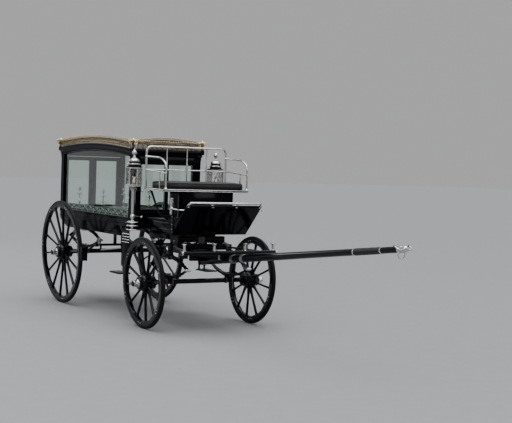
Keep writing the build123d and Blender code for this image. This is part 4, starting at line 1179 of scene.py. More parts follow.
@dataclass(frozen=True)
class Draught:
    """Futchells, splinter bar with its roller bolts, pole and pole head."""

    futchell_z: float = 0.784
    bar_x: float = 0.37
    rollers: Pair = (0.18, 0.52)
    pole_foot: Triple = (-0.166, 0.0, 0.70)
    pole_end: Triple = (3.08, 0.0, 1.09)
    tip: Triple = (3.2, 0.0, 1.09)
    roller: Profile = (
        (20, 0), (21, 4), (15, 8), (13.5, 14), (13.5, 52), (16, 60), (24, 66), (26, 69), (26, 73), (22, 76),
        (0.5, 76.5))
    head: Profile = (
        (27, 0), (31, 2), (32, 8), (30, 13), (29, 30), (31.5, 34), (31.5, 40), (29, 44), (28, 88), (24, 98),
        (14, 108), (0.5, 112))

    def build_futchells(self) -> None:
        """Makes the two wooden arms that hold the pole, with their cross pieces."""
        x, z = CARRIAGE.front_x, self.futchell_z
        piece = Piece("futchell_frame", Body.FORECARRIAGE.value)
        line = np.linspace((x - 0.33, 0.172, z), (x + 0.64, 0.084, z), 5)
        piece.add(GEAR_ENAMEL, moulding(line, rectangle(0.048, 0.043, 0.008, 3), UP).both())
        piece.add(STEEL, block((0.02, 0.052, 0.053), (x + 0.60, 0.088, z), 0.002).both())
        piece.add(GEAR_ENAMEL, block((0.05, 0.33, 0.04), (x - 0.3, 0, z), 0.006),
                  block((0.048, 0.3, 0.084), (x + 0.054, 0, z - 0.044), 0.006))
        piece.build("futchells")

    def build_bar(self) -> None:
        """Makes the splinter bar: rounded section, swelling towards the middle, with four roller bolts."""
        x, z, reach = self.bar_x, self.futchell_z + 0.045, self.rollers[1] + 0.04
        y = np.linspace(-reach, reach, 33)[:, None]
        size = 1 - 0.12 * (np.abs(y) / reach) ** 3
        u, v = rectangle(0.058, 0.042, 0.016, 5).T
        piece = Piece("splinter_bar_woodwork", Body.FORECARRIAGE.value)
        piece.add(GEAR_ENAMEL, grid(spread(x + size * u, y, z + size * v)))
        rollers = lathe(mm(self.roller), 24).at([(x, y, z + 0.0205) for y in self.rollers])
        band = rectangle(0.06, 0.044, 0.016, 5) * 0.92
        ends = moulding(((x, reach - 0.02, z), (x, reach - 0.001, z)), band, ALONG)
        piece.add(SILVER, rollers.both(), ends.both())
        start = (CARRIAGE.front_x + 0.043, 0.32, 0.838)
        piece.add(IRON, block((0.01, 0.044, 0.044), start, 0.002).both())
        piece.add(IRON, tube((start, (x - 0.01, 0.44, z)), 0.011, 14, UP).both())
        piece.build("splinter_bar")

    def shaft(self, low: float, high: float, rows: int, proud: float = 0.0) -> Shell:
        """Length of the tapered pole between two shares of it.

        Args:
            low: Share of the pole's length at its start.
            high: Share at its end.
            rows: Points along it.
            proud: Added to the pole's radius.

        Returns:
            The tapered tube.
        """
        share = np.linspace(low, high, rows)
        foot, end = np.array(self.pole_foot), np.array(self.pole_end)
        return tube(foot + share[:, None] * (end - foot), 0.044 - 0.017 * share + proud, 28)

    def build_pole(self) -> None:
        """Makes the tapered pole with its leather guard and iron bands, and the head with hooks and rings."""
        pole = Piece("draught_pole", Body.FORECARRIAGE.value).add(WHEEL_ENAMEL, self.shaft(0, 1, 41))
        for low, high, finish in ((0.185, 0.2, STEEL), (0.245, 0.26, STEEL), (0.82, 0.93, LEATHER),
                                  (0.815, 0.822, SILVER), (0.928, 0.935, SILVER)):
            pole.add(finish, self.shaft(low, high, 7, 0.0022))
        pole.build("pole")
        place = oriented(self.pole_end, ACROSS, np.subtract(self.pole_end, self.pole_foot))
        head = Piece("pole_crab", Body.FORECARRIAGE.value).add(SILVER, lathe(mm(self.head)).moved(place))
        hook = flowing(mm(((-46, 0, 2), (-36, 40, 3), (-44, 70, 10), (-84, 74, 30))) + self.tip, 7)
        head.add(STEEL, tube(hook, np.linspace(0.0085, 0.006, len(hook)), 12, UP).both())
        head.add(BRASS, ball(mm((-86, 74, 31)) + self.tip, 0.010).both())
        turn, radius = around(28), 0.036
        ring = spread(3.115, radius * np.cos(turn), 1.052 + radius * np.sin(turn))
        head.add(STEEL, tube(ring, 0.0045, 10, ALONG, closed=True))
        head.add(STEEL, block((0.016, 0.02, 0.02), (3.19, 0, 1.1)))
        head.build("pole_head", slot="silver_plate")


@dataclass(frozen=True)
class HangingSteps:
    """Rounded treads on irons behind an upright plate, one each side."""

    x: Pair = (-1.2, -0.93)
    y: Pair = (0.465, 0.62)
    tread: float = 0.5
    plate: Pair = (-1.16, -0.97)
    plate_z: Pair = (0.56, 0.95)

    def build(self) -> None:
        """Makes both steps in one piece."""
        piece = Piece("step_irons")
        length, depth, mid = self.x[1] - self.x[0], self.y[1] - self.y[0], (sum(self.x) / 2, sum(self.y) / 2)
        tread = slab(rectangle(length, depth, 0.036, 6), -0.008, 0.006, 0.003)
        cover = slab(rectangle(length - 0.03, depth - 0.03, 0.024, 6), 0.005, 0.0085, 0.001)
        rib = tube(((-length / 2 + 0.03, 0, 0), (length / 2 - 0.03, 0, 0)), 0.0022, 8)
        ribs = rib.at(spread(0, np.linspace(-0.05, 0.05, 6), 0.009))
        for finish, shell in ((GEAR_ENAMEL, tread), (MAT, cover), (SILVER, ribs)):
            piece.add(finish, shell.shifted(*mid, self.tread).both())
        hang, lift = self.y[0] + 0.012, CARRIAGE.sill + 0.11
        for x in (self.plate[0] + 0.04, self.plate[1] - 0.03):
            route = softened(((x, hang, self.tread), (x, hang, lift - 0.09), (x - 0.1, hang, lift),
                              (x - 0.1, CARRIAGE.half_width, lift)), 0.03, 6)
            piece.add(GEAR_ENAMEL, tube(route, 0.011, 14, (0.6, 0.5, 0)).both())
        wide, tall = self.plate[1] - self.plate[0], self.plate_z[1] - self.plate_z[0]
        x, y, z = sum(self.plate) / 2, hang + 0.008, sum(self.plate_z) / 2
        board = slab(rectangle(wide, tall, 0.028, 6), -0.004, 0.004, 0.0015)
        edge = rectangle(wide - 0.022, tall - 0.022, 0.02, 6) + (x, z)
        line = tube(spread(edge[:, 0], y + 0.0045, edge[:, 1]), 0.0022, 6, closed=True)
        piece.add(BODY_ENAMEL, board.moved(SIDE_PLANE).shifted(x, y, z).both(), line.both())
        lip = tube(((-wide / 2 + 0.026, 0, 0), (wide / 2 + 0.012, 0, 0)), 0.0045, 10, UP)
        piece.add(SILVER, lip.at(spread(x, y + 0.0065, np.linspace(0.832, 0.922, 4))).both())
        piece.build("hanging_steps")


# Bodywork


@dataclass(frozen=True)
class LowerBody:
    """Shallow pan with swept ends, floor, half-round mouldings and side panel beads."""

    panel: float = 0.028
    floor: float = 0.03
    sweep: float = 0.095
    end: float = 0.24
    bead_half: float = 0.0045

    def foot(self, x: Floats) -> Floats:
        """Height of the lower edge: level, then rising as a power curve over both ends."""
        share = np.clip((np.abs(x) - (CARRIAGE.length / 2 - self.end)) / self.end, 0, 1)
        return CARRIAGE.sill + self.sweep * share**1.32

    def walls(self) -> Shell:
        """Outer and inner walls round the body, their foot following the lower edge.

        Returns:
            The closed ring of walls.
        """
        low, top = self.foot(ring_columns(72) * CARRIAGE.length / 2), CARRIAGE.glass_foot
        outer, inner = np.full_like(low, top), np.full_like(low, top - self.floor)
        heights = np.hstack((outer, low + 0.007, low + 0.002, low, low, low + 0.004, inner))
        steps = np.array((0, 0, -0.002, -0.007, 0.004 - self.panel, -self.panel, -self.panel))
        return body_ring(steps, heights, 72)

    def bead(self, height: float, proud: float = 0.009) -> Shell:
        """Half-round moulding round the body.

        Args:
            height: Height of its middle.
            proud: How far it stands out.

        Returns:
            The closed ring.
        """
        rise = np.concatenate(((-pi / 2,), np.linspace(-pi / 2, pi / 2, 7), (pi / 2,)))
        offsets = proud * np.maximum(np.cos(rise), 0) ** 0.7 * 0.98
        offsets[[0, -1]] = -0.002
        return body_ring(offsets, height + self.bead_half * np.sin(rise))

    def panel_line(self) -> Shell:
        """Slim bead that follows the side panel's own outline, drawn in from its edges.

        Returns:
            The bead on the left.
        """
        half, top = CARRIAGE.length / 2 - 0.05, 0.998
        x = np.linspace(-half, half, 49)
        line = np.concatenate((spread(x, self.foot(x * 1.045) + 0.035), ((half, top), (-half, top))))
        return tube(spread(line[:, 0] + CARRIAGE.middle, CARRIAGE.half_width + 0.0005, line[:, 1]), 0.003, 8,
                    closed=True)

    def build(self) -> None:
        """Makes the pan."""
        top = CARRIAGE.glass_foot
        inner = (CARRIAGE.length - 0.03, 2 * CARRIAGE.half_width - 0.03, self.floor)
        floor = block(inner, (CARRIAGE.middle, 0, top - self.floor / 2 - 0.0005), 0.002)
        Piece("lower_body_panels").add(
            BODY_ENAMEL, self.walls(), floor, self.bead(top - 0.0135), self.bead(top - 0.0555),
            self.bead(top - 0.0346, 0.003), self.panel_line().both()).build("lower_body")


@dataclass(frozen=True)
class SideFrames:
    """Arched side frames with their glazing beads, hinge knuckles and slim corner columns."""

    pillar: float = 0.088
    foot_rail: float = 0.022
    head_rail: float = 0.014

    def outlines(self) -> tuple[Floats, Floats]:
        """Matched outlines of a frame and its window about the body's middle.

        Returns:
            The outer outline and the window's, point for point.
        """
        half, hole = CARRIAGE.length / 2, CARRIAGE.length / 2 - self.pillar
        top = CARRIAGE.arch(np.linspace(half, -half, 40), CARRIAGE.eaves)
        head = CARRIAGE.arch(np.linspace(hole, -hole, 40), CARRIAGE.eaves - self.head_rail)
        return (box_outline(-half, half, CARRIAGE.glass_foot, top, 40),
                box_outline(-hole, hole, CARRIAGE.glass_foot + self.foot_rail, head, 40))

    def columns(self) -> Shell:
        """Slender turned columns that dress the corners.

        Returns:
            The two columns on the left.
        """
        low, high = CARRIAGE.glass_foot, CARRIAGE.eaves
        foot = mm(((13, 0), (13, 20), (9, 26), (11, 34), (7.5, 45))) + (0, low)
        head = mm(((7.5, -50), (10.5, -42), (8.5, -34), (12, -22), (13, 0))) + (0, high)
        ends = (CARRIAGE.body_rear + 0.006, CARRIAGE.body_front - 0.006)
        return lathe(np.concatenate((foot, head)), 20).at([(x, CARRIAGE.half_width - 0.004, 0) for x in ends])

    def build(self) -> None:
        """Makes both frames as one piece."""
        outer, inner = self.outlines()
        face = CARRIAGE.frame
        sides = joined((window_frame(outer, inner, 0.0, face, 0.003),
                        window_frame(inset(inner, -0.011), inner, face - 0.002, face + 0.004, 0.0025),
                        window_frame(inset(inner, -0.0008), inset(inner, 0.0032), 0.028, 0.036, 0.001)))
        sides = sides.moved(SIDE_PLANE).shifted(CARRIAGE.middle, face - CARRIAGE.half_width)
        piece = Piece("arched_side_frames").add(BODY_ENAMEL, sides.both(), self.columns().both())
        piece.add(IRON, RearDoors().fixed_knuckles().both()).build("side_frames")


@dataclass(frozen=True)
class RearDoors:
    """Pair of glazed doors with moulded frames, hinges, handle and the surround they close in."""

    gap: float = 0.005
    stile: float = 0.043
    rail: float = 0.046
    bottom: float = 1.101
    top: float = 1.75
    handle: float = -0.018
    hinge_y: float = 0.3755
    hinge_levels: Pair = (1.211, 1.64)

    def hinges(self, *shells: Shell) -> Shell:
        """Shells of one hinge laid at both levels on the left."""
        spots = [(CARRIAGE.body_rear - 0.014, self.hinge_y, level) for level in self.hinge_levels]
        return joined(shells).at(spots)

    def fixed_knuckles(self) -> Shell:
        """Two knuckles of each left hinge with their straps, ball tips and pin, on the frame.

        Returns:
            The fixed parts of both left hinges.
        """
        ring = mm(((4.5, -13), (8, -13), (9, -12), (9, 12), (8, 13), (4.5, 13)))
        parts = [lathe(mm(((4, -56), (4, 56))), 16)]
        for up in (-1, 1):
            z = up * 0.0436
            parts += [lathe(ring, 20, closed=True).shifted(z=z), ball((0, 0, z + up * 0.0145), 0.006, 12),
                      block((0.014, 0.03, 0.024), (0.007, 0.017, z), 0.002)]
        return self.hinges(*parts)

    def door_knuckles(self) -> Shell:
        """Middle knuckle of each left hinge and its strap, on the door."""
        ring = mm(((4.2, -29), (8, -29), (9, -28), (9, 28), (8, 29), (4.2, 29)))
        strap = block((0.012, 0.03, 0.048), (0.008, -0.017, 0), 0.002)
        return self.hinges(lathe(ring, 20, closed=True), strap)

    def build_surround(self) -> None:
        """Makes the header and the threshold with a bright tread strip."""
        deep, low, high = CARRIAGE.frame, CARRIAGE.glass_foot, CARRIAGE.eaves
        x, wide = CARRIAGE.body_rear + deep / 2, 2 * (CARRIAGE.half_width - deep)
        sill = self.bottom - self.gap
        head, foot = high - self.top - self.gap, sill - low
        piece = Piece("doorway_surround")
        piece.add(BODY_ENAMEL, block((deep, wide, head), (x, 0, high - head / 2)),
                  block((deep, wide, foot), (x, 0, low + foot / 2)))
        piece.add(SILVER, block((deep - 0.012, wide - 0.03, 0.003), (x, 0, sill), 0.001))
        piece.build("rear_door_surround")

    def build(self) -> None:
        """Makes the surround and both doors with the handle."""
        self.build_surround()
        plane = end_plane(CARRIAGE.body_rear, -1)
        low, high = self.gap / 2, CARRIAGE.half_width - CARRIAGE.frame - self.gap
        outer = box_outline(low, high, self.bottom, self.top, 8)
        stile, rail = self.stile, self.rail
        inner = box_outline(low + stile, high - stile, self.bottom + rail, self.top - rail, 8)
        wood, line = (shell.moved(plane) for shell in sash(outer, inner, -0.034, 0.003))
        for side in Side:
            piece = Piece(f"{side.tag}_glazed_door", f"{side.tag}_door").add(BODY_ENAMEL, wood.on(side))
            piece.add(SILVER, line.on(side)).add(IRON, self.door_knuckles().on(side))
            piece.build(f"{side.tag}_rear_door")
        rose = lathe(mm(((11.8, 0), (11.8, 3), (8, 5), (6, 8), (5.5, 26))), 24)
        z, y = flowing(mm(((-38, 0.5), (-20, 2), (20, -2), (42, 3))), 8).T
        width = np.interp(np.linspace(0, 1, len(z)), (0, 0.15, 0.5, 0.9, 1), mm((4, 6.6, 5.5, 6.6, 3)))
        bar = tube(spread(self.handle + y, 1.375 + z, 0.029), width, 14, UP, flat=0.75)
        handle = Piece("door_handle_bar", "right_door")
        handle.add(SILVER, rose.shifted(self.handle, 1.4).moved(plane), bar.moved(plane))
        handle.build("rear_door_handle", slot="silver_plate")


@dataclass(frozen=True)
class FrontFrame:
    """Frame between the front pillars with two panes, beads and a middle bar."""

    stile: float = 0.058
    bar: float = 0.036
    foot: float = 0.12
    head: float = 0.088

    def build(self) -> None:
        """Makes the frame as two windows that meet at the middle bar."""
        half, low, high = CARRIAGE.half_width - CARRIAGE.frame, CARRIAGE.glass_foot, CARRIAGE.eaves
        inner = box_outline(self.bar / 2, half - self.stile, low + self.foot, high - self.head, 10)
        plane = end_plane(CARRIAGE.body_front, 1)
        wood, line = sash(box_outline(0.0, half, low, high, 10), inner, -CARRIAGE.frame, 0.0015)
        piece = Piece("front_window_frame").add(BODY_ENAMEL, wood.moved(plane).both())
        piece.add(SILVER, line.moved(plane).both())
        bead = tube(((0, -half, 0), (0, half, 0)), 0.0055, 10, UP)
        piece.add(BODY_ENAMEL, bead.at([(CARRIAGE.body_front + 0.001, 0, low + up) for up in (0.03, 0.09)]))
        piece.build("front_frame")


@dataclass(frozen=True)
class Roof:
    """Arched roof: two-step moulded cornice, crowned deck, corner plinths and the lined ceiling."""

    span: float = 2.13
    plinth: float = 1.851
    section: Profile = (
        (-46, -4), (0, -4), (4, 0), (10.5, 4), (12, 8), (12, 26), (13.5, 30.5), (18, 34), (24.5, 36),
        (28.5, 39), (30, 43), (30, 66), (28.5, 71.5), (24, 74.5), (18, 76), (-46, 76))

    def rise(self, x: Floats | float) -> Floats:
        """Height of the roof's arch over the eaves at x from the middle."""
        return CARRIAGE.arch(np.clip(x, -self.span / 2, self.span / 2), 0.0, self.span)

    def cornice(self) -> Shell:
        """Cornice section run round the eaves with mitred corners, following the arch."""
        out, up = mm(self.section).T
        heights = CARRIAGE.eaves + up + self.rise(ring_columns(56) * (CARRIAGE.length / 2 + out))
        return body_ring(out, heights, 56)

    def sheet(self, low: float, high: float, away: float, crown: float = 0.0) -> Shell:
        """Arched board between two heights over the eaves, its top crowned across as 1 - (y / half)^2.

        Args:
            low: Height of the underside over the eaves at the ends.
            high: Height of the top.
            away: Distance in from the body's outline.
            crown: Extra height on the centre line.

        Returns:
            The closed board.
        """
        half_x, half_y = CARRIAGE.length / 2 - away, CARRIAGE.half_width - away
        x, y = np.linspace(-half_x, half_x, 49)[:, None], np.linspace(-half_y, half_y, 17)
        up = np.concatenate((crown * (1 - (y / half_y) ** 2) + high, np.full(17, low)))
        level, around_y = CARRIAGE.eaves + self.rise(x), np.concatenate((y, y[::-1]))
        return grid(spread(x + CARRIAGE.middle, around_y, level + up))

    def line(self, away: float, up: float) -> Shell:
        """Slim bead under the ceiling along both sides, at a distance in from the outline."""
        x = np.linspace(-1, 1, 41) * (CARRIAGE.length / 2 - away)
        route = spread(x + CARRIAGE.middle, CARRIAGE.half_width - away, CARRIAGE.eaves + self.rise(x) + up)
        return tube(route, 0.004, 8, UP).both()

    def build(self) -> None:
        """Makes the roof in one piece."""
        piece = Piece("arched_roof").add(BODY_ENAMEL, self.cornice(), self.sheet(0.055, 0.0755, 0.03, 0.010))
        # Ceiling and its bead in the dark lining, whose green tint is painted reflection.
        piece.add(LINING_PAINTED_REFLECTION, self.sheet(0.044, 0.0545, 0.044), self.line(0.052, 0.042))
        piece.add(SILVER, self.line(0.12, 0.043))
        header = block((CARRIAGE.frame, 2 * (CARRIAGE.half_width - CARRIAGE.frame), 0.046), (0, 0, 0), 0.002)
        reach = CARRIAGE.length / 2 - CARRIAGE.frame / 2
        headers = header.at([(CARRIAGE.middle + x, 0, CARRIAGE.eaves + 0.022) for x in (-reach, reach)])
        plinths = block((0.038, 0.038, 0.034), (0, 0, self.plinth), 0.004).at(CORNERS)
        piece.add(BODY_ENAMEL, headers, plinths).build("roof")


CORNERS = tuple((CARRIAGE.middle + x * 1.046, y * 0.431, 0.0) for x in (-1, 1) for y in (-1, 1))


@dataclass(frozen=True)
class RoofGallery:
    """Pierced brass gallery: beaded rails round a row of rings, balusters and leaf crests."""

    roof: Roof
    foot: float = 1.854
    edge: float = 0.4435
    end: float = 1.0585
    pitch: float = 0.056
    stop: float = 0.058

    def motif(self) -> Shell:
        """One bay in the XZ plane: two scrolls each side of a bud, their radius falling with the angle.

        Returns:
            The bay's scrolls and bud.
        """
        t = np.linspace(0, 1, 12)
        shells = []
        for x, z, radius, turn in ((0.0125, 0.021, 0.0135, 1.5 * pi), (0.013, 0.056, 0.0165, 1.7 * pi)):
            reach = radius * (1 - 0.75 * t)
            for mirror in (-1, 1):
                line = spread(mirror * (x + reach * np.sin(turn * t)), 0, z - reach * np.cos(turn * t))
                shells.append(tube(line, 0.0052 - 0.0014 * t, 6))
        swell = 0.001 + 0.0036 * np.sin(pi * np.linspace(0.02, 1, 7) ** 1.6)
        shells.append(tube(spread(0, 0, np.linspace(0.03, 0.081, 7)), swell, 6))
        return joined(shells)

    def post(self) -> Shell:
        """Baluster between bays, with a ball at its middle."""
        return lathe(mm(((4, 4), (2.2, 12), (2.2, 34), (4.2, 40), (2.2, 46), (2.2, 76), (4, 81))), 8)

    def crest(self, tall: float) -> Shell:
        """Leaf that stands on the top rail: a flat drop whose half width follows sin(pi t^0.8)^0.7."""
        t, angle = np.linspace(0.02, 0.98, 8)[:, None], around(8)
        wide = 0.0062 * np.sin(pi * t**0.8) ** 0.7 + 0.0004
        return grid(spread(wide * np.cos(angle), 0.42 * wide * np.sin(angle), 0.083 + tall * t))

    def run(self, half: float, arched: bool) -> tuple[Shell, Shell]:
        """One side of the gallery about its own middle, X along it.

        Args:
            half: Half length between its ends.
            arched: True where the feet follow the roof's arch.

        Returns:
            The rails and bays, and then the crests and beads, which take the brighter brass as a painted
            highlight.
        """
        def along(x: Floats, up: float = 0.0) -> Floats:
            """Points over the run's foot."""
            return spread(x, 0, self.roof.rise(x if arched else self.end) + up)

        x = np.linspace(-half, half, 61)
        count = int(2 * half / self.pitch)
        centres = (np.arange(count) - (count - 1) / 2) * (2 * half / count)
        posts, step = np.linspace(-half, half, count + 1), half / count / 2
        beads = ball((0, 0, 0.0865), 0.0042, 8).at(along(np.concatenate((centres + step, centres - step))))
        work = (tube(along(x, 0.0035), 0.005, 8, flat=0.7), tube(along(x, 0.0815), 0.0038, 8, flat=0.8),
                self.motif().at(along(centres)), self.post().at(along(posts)))
        crests = (self.crest(0.0195).at(along(centres)), self.crest(0.013).at(along(posts)))
        return joined(work), joined((*crests, beads))

    def build(self) -> None:
        """Makes the gallery's four runs."""
        piece, x = Piece("pierced_gallery"), CARRIAGE.middle
        sides = [oriented((x, y, self.foot), ALONG, UP) for y in (-self.edge, self.edge)]
        ends = [oriented((x + away, 0, self.foot), ACROSS, UP) for away in (-self.end, self.end)]
        for reach, arched, places in ((self.end, True, sides), (self.edge, False, ends)):
            # Bays and rails take the darker brass, partly painted shade; crests and beads take the brighter
            # brass, a painted highlight.
            for finish, shell in zip((BRASS, PAINTED_HIGHLIGHT_BRASS), self.run(reach - self.stop, arched)):
                piece.add(finish, shell.copies(places))
        piece.build("roof_gallery", slot="brass")


@dataclass(frozen=True)
class CornerFinials:
    """Gadrooned brass vases with flame tops at the four corners."""

    base: float = 1.868
    reach: float = 0.0585
    bowl: tuple[Triple, ...] = (
        (19, 0, 0), (19, 4, 0), (14, 7, 0), (9.5, 13, 0), (12, 18, 0), (9, 22, 0), (14, 30, 50), (22, 40, 90),
        (28, 52, 110), (30, 62, 110), (27, 68, 60), (31, 72, 20), (32, 75.5, 0), (29, 79, 0), (24, 80, 0),
        (20, 83, 20))

    def vase(self) -> Shell:
        """Vase turned about Z, its bowl fluted by the third number of each row times (1 - cos 12a) / 2.

        Returns:
            The vase, its foot at the origin.
        """
        radius, height, flute = (column[:, None] for column in mm(self.bowl).T)
        angle = around(48)
        radius = np.minimum(radius * (1 - flute * (0.5 - 0.5 * np.cos(12 * angle))), self.reach)
        return grid(spread(radius * np.cos(angle), radius * np.sin(angle), height))

    def flame(self) -> Shell:
        """Twisted flame: four lobes that turn by a third of a turn as they rise.

        Returns:
            The flame above the vase.
        """
        t, angle = np.linspace(0.0, 1.0, 14)[:, None], around(24)
        wide = 0.019 * np.sin(pi * (0.18 + 0.82 * t)) ** 0.9 * (1 - 0.45 * t) + 0.0006
        radius = wide * (1 + 0.2 * np.cos(4 * (angle - 2.1 * t)))
        return grid(spread(radius * np.cos(angle), radius * np.sin(angle), 0.079 + 0.025 * t))

    def leaves(self) -> Shell:
        """Eight leaves that curl out from the stem, each a strip whose half width follows sin(pi t)^0.7.

        Returns:
            The ring of leaves.
        """
        t, v = np.linspace(0.03, 0.97, 8)[:, None], np.array((-1, -0.5, 0, 0.5, 1))
        out, wide = 0.012 + 0.026 * t**1.4, 0.009 * np.sin(pi * t) ** 0.7
        up = 0.018 + 0.030 * t - 0.030 * np.clip(t - 0.7, 0, 1)
        front = spread(out, wide * v, up - 0.004 * v**2 * t)
        leaf = grid(np.concatenate((front, front[:, ::-1] - (0.0012, 0, 0.0012)), 1))
        return leaf.ringed(around(8))

    def horns(self) -> Shell:
        """Four horns that spread from the stem and curl up to balls, along the carriage and across it.

        Returns:
            The horns with their balls.
        """
        tip = self.reach - 0.0085
        path = flowing(((0.008, 0, 0.030), (tip * 0.45, 0, 0.0355), (tip * 0.82, 0, 0.045), (tip, 0, 0.061),
                        (tip - 0.006, 0, 0.074)), 5)
        horn = tube(path, np.linspace(0.0075, 0.004, len(path)), 10)
        balls = ball((tip * 0.55, 0, 0.047), 0.0075, 12), ball((tip - 0.007, 0, 0.079), 0.0095, 12)
        return joined((horn, *balls)).ringed(around(4))

    def build(self) -> None:
        """Makes the four finials."""
        piece = Piece("vase_finials")
        # Vase and leaves take the darker brass, partly painted shade; flame and horns take the brighter
        # brass, a painted highlight.
        for finish, shells in ((BRASS, (self.vase(), self.leaves())), (PAINTED_HIGHLIGHT_BRASS, (self.flame(), self.horns()))):
            piece.add(finish, joined(shells).shifted(z=self.base).at(CORNERS))
        piece.build("corner_finials", slot="brass")


@dataclass(frozen=True)
class EtchedBand:
    """Etched frieze along the foot of each side pane: border lines, a running stem, leaves and rosettes."""

    low: float = 1.098
    high: float = 1.168
    half: float = 0.935
    waves: int = 11
    thin: float = 0.2

    def leaf(self) -> Shell:
        """Flat pointed leaf of unit length in the XZ plane, its half width 0.27 sin(pi t)^0.8 + 0.004."""
        t = np.linspace(0.0, 1.0, 9)[:, None]
        front = spread(t, 0, (0.27 * np.sin(pi * t) ** 0.8 + 0.004) * (-1, 1))
        return grid(np.concatenate((front, front[:, ::-1] + (0, 0.02, 0)), 1))

    def scatter(self, x: Floats, z: Floats, angles: Floats | float, size: float) -> Shell:
        """Leaves laid in the XZ plane at spots, each turned and scaled."""
        c, s, o = np.cos(angles) * size + 0 * x, np.sin(angles) * size + 0 * x, 0 * x
        rows = ((c, o, -s, x), (o, o + 0.02, o, o), (s, o, c, z), (o, o, o, o + 1))
        return self.leaf().copies(np.moveaxis(np.array(rows), 2, 0))

    def frieze(self) -> list[Shell]:
        """Lines, leaves and rosettes of one frieze about x = 0, y = 0; the stem is a sine wave.

        Returns:
            The shells, as thick as their bars.
        """
        middle, rise = (self.low + self.high) / 2, (self.high - self.low) * 0.27
        turn = pi * self.waves / self.half
        x = np.linspace(-self.half, self.half, 241)
        shells = [tube(spread(x, 0, middle + rise * np.sin(turn * x)), 0.0016, 4)]
        for height in (self.low, self.low + 0.005, self.high, self.high - 0.005):
            shells.append(tube(((-self.half, 0, height), (self.half, 0, height)), 0.0011, 4))
        at = np.arange(-self.waves * 2, self.waves * 2) * self.half / (self.waves * 2) + 0.02
        leaves = (0, 0.9, 0.026), (0.014, -0.9, 0.026), (0.028, 2.3, 0.02), (0.03, -2.2, 0.02)
        for shift, lean, size in leaves:
            here = at + shift
            slope = np.arctan(rise * turn * np.cos(turn * here))
            shells.append(self.scatter(here, middle + rise * np.sin(turn * here), slope + lean, size))
        crest = (np.arange(self.waves * 2) - self.waves + 0.5) * self.half / self.waves
        level = middle - rise * 0.55 * np.sign(np.sin(turn * crest))
        return shells + [self.scatter(crest, level, angle, 0.011) for angle in around(6)]

    def build(self) -> None:
        """Lays the frieze on the outer face of both side panes."""
        y, middle = CARRIAGE.frame / 2 - 0.0054 - CARRIAGE.half_width, (self.low + self.high) / 2
        frieze = joined(self.frieze()).moved(np.diag((1.0, self.thin, 1.0, 1.0)))
        # Dark sheet behind the frieze in the lining finish; its green tint is painted reflection.
        ground = block((2 * self.half, 0.0006, self.high - self.low + 0.02),
                       (CARRIAGE.middle, y + 0.0008, middle - 0.002), 0.0001)
        piece = Piece("etched_frieze").add(FROST, frieze.shifted(CARRIAGE.middle, y).both())
        piece.add(LINING_PAINTED_REFLECTION, ground.both()).build(slot="plate_glass")


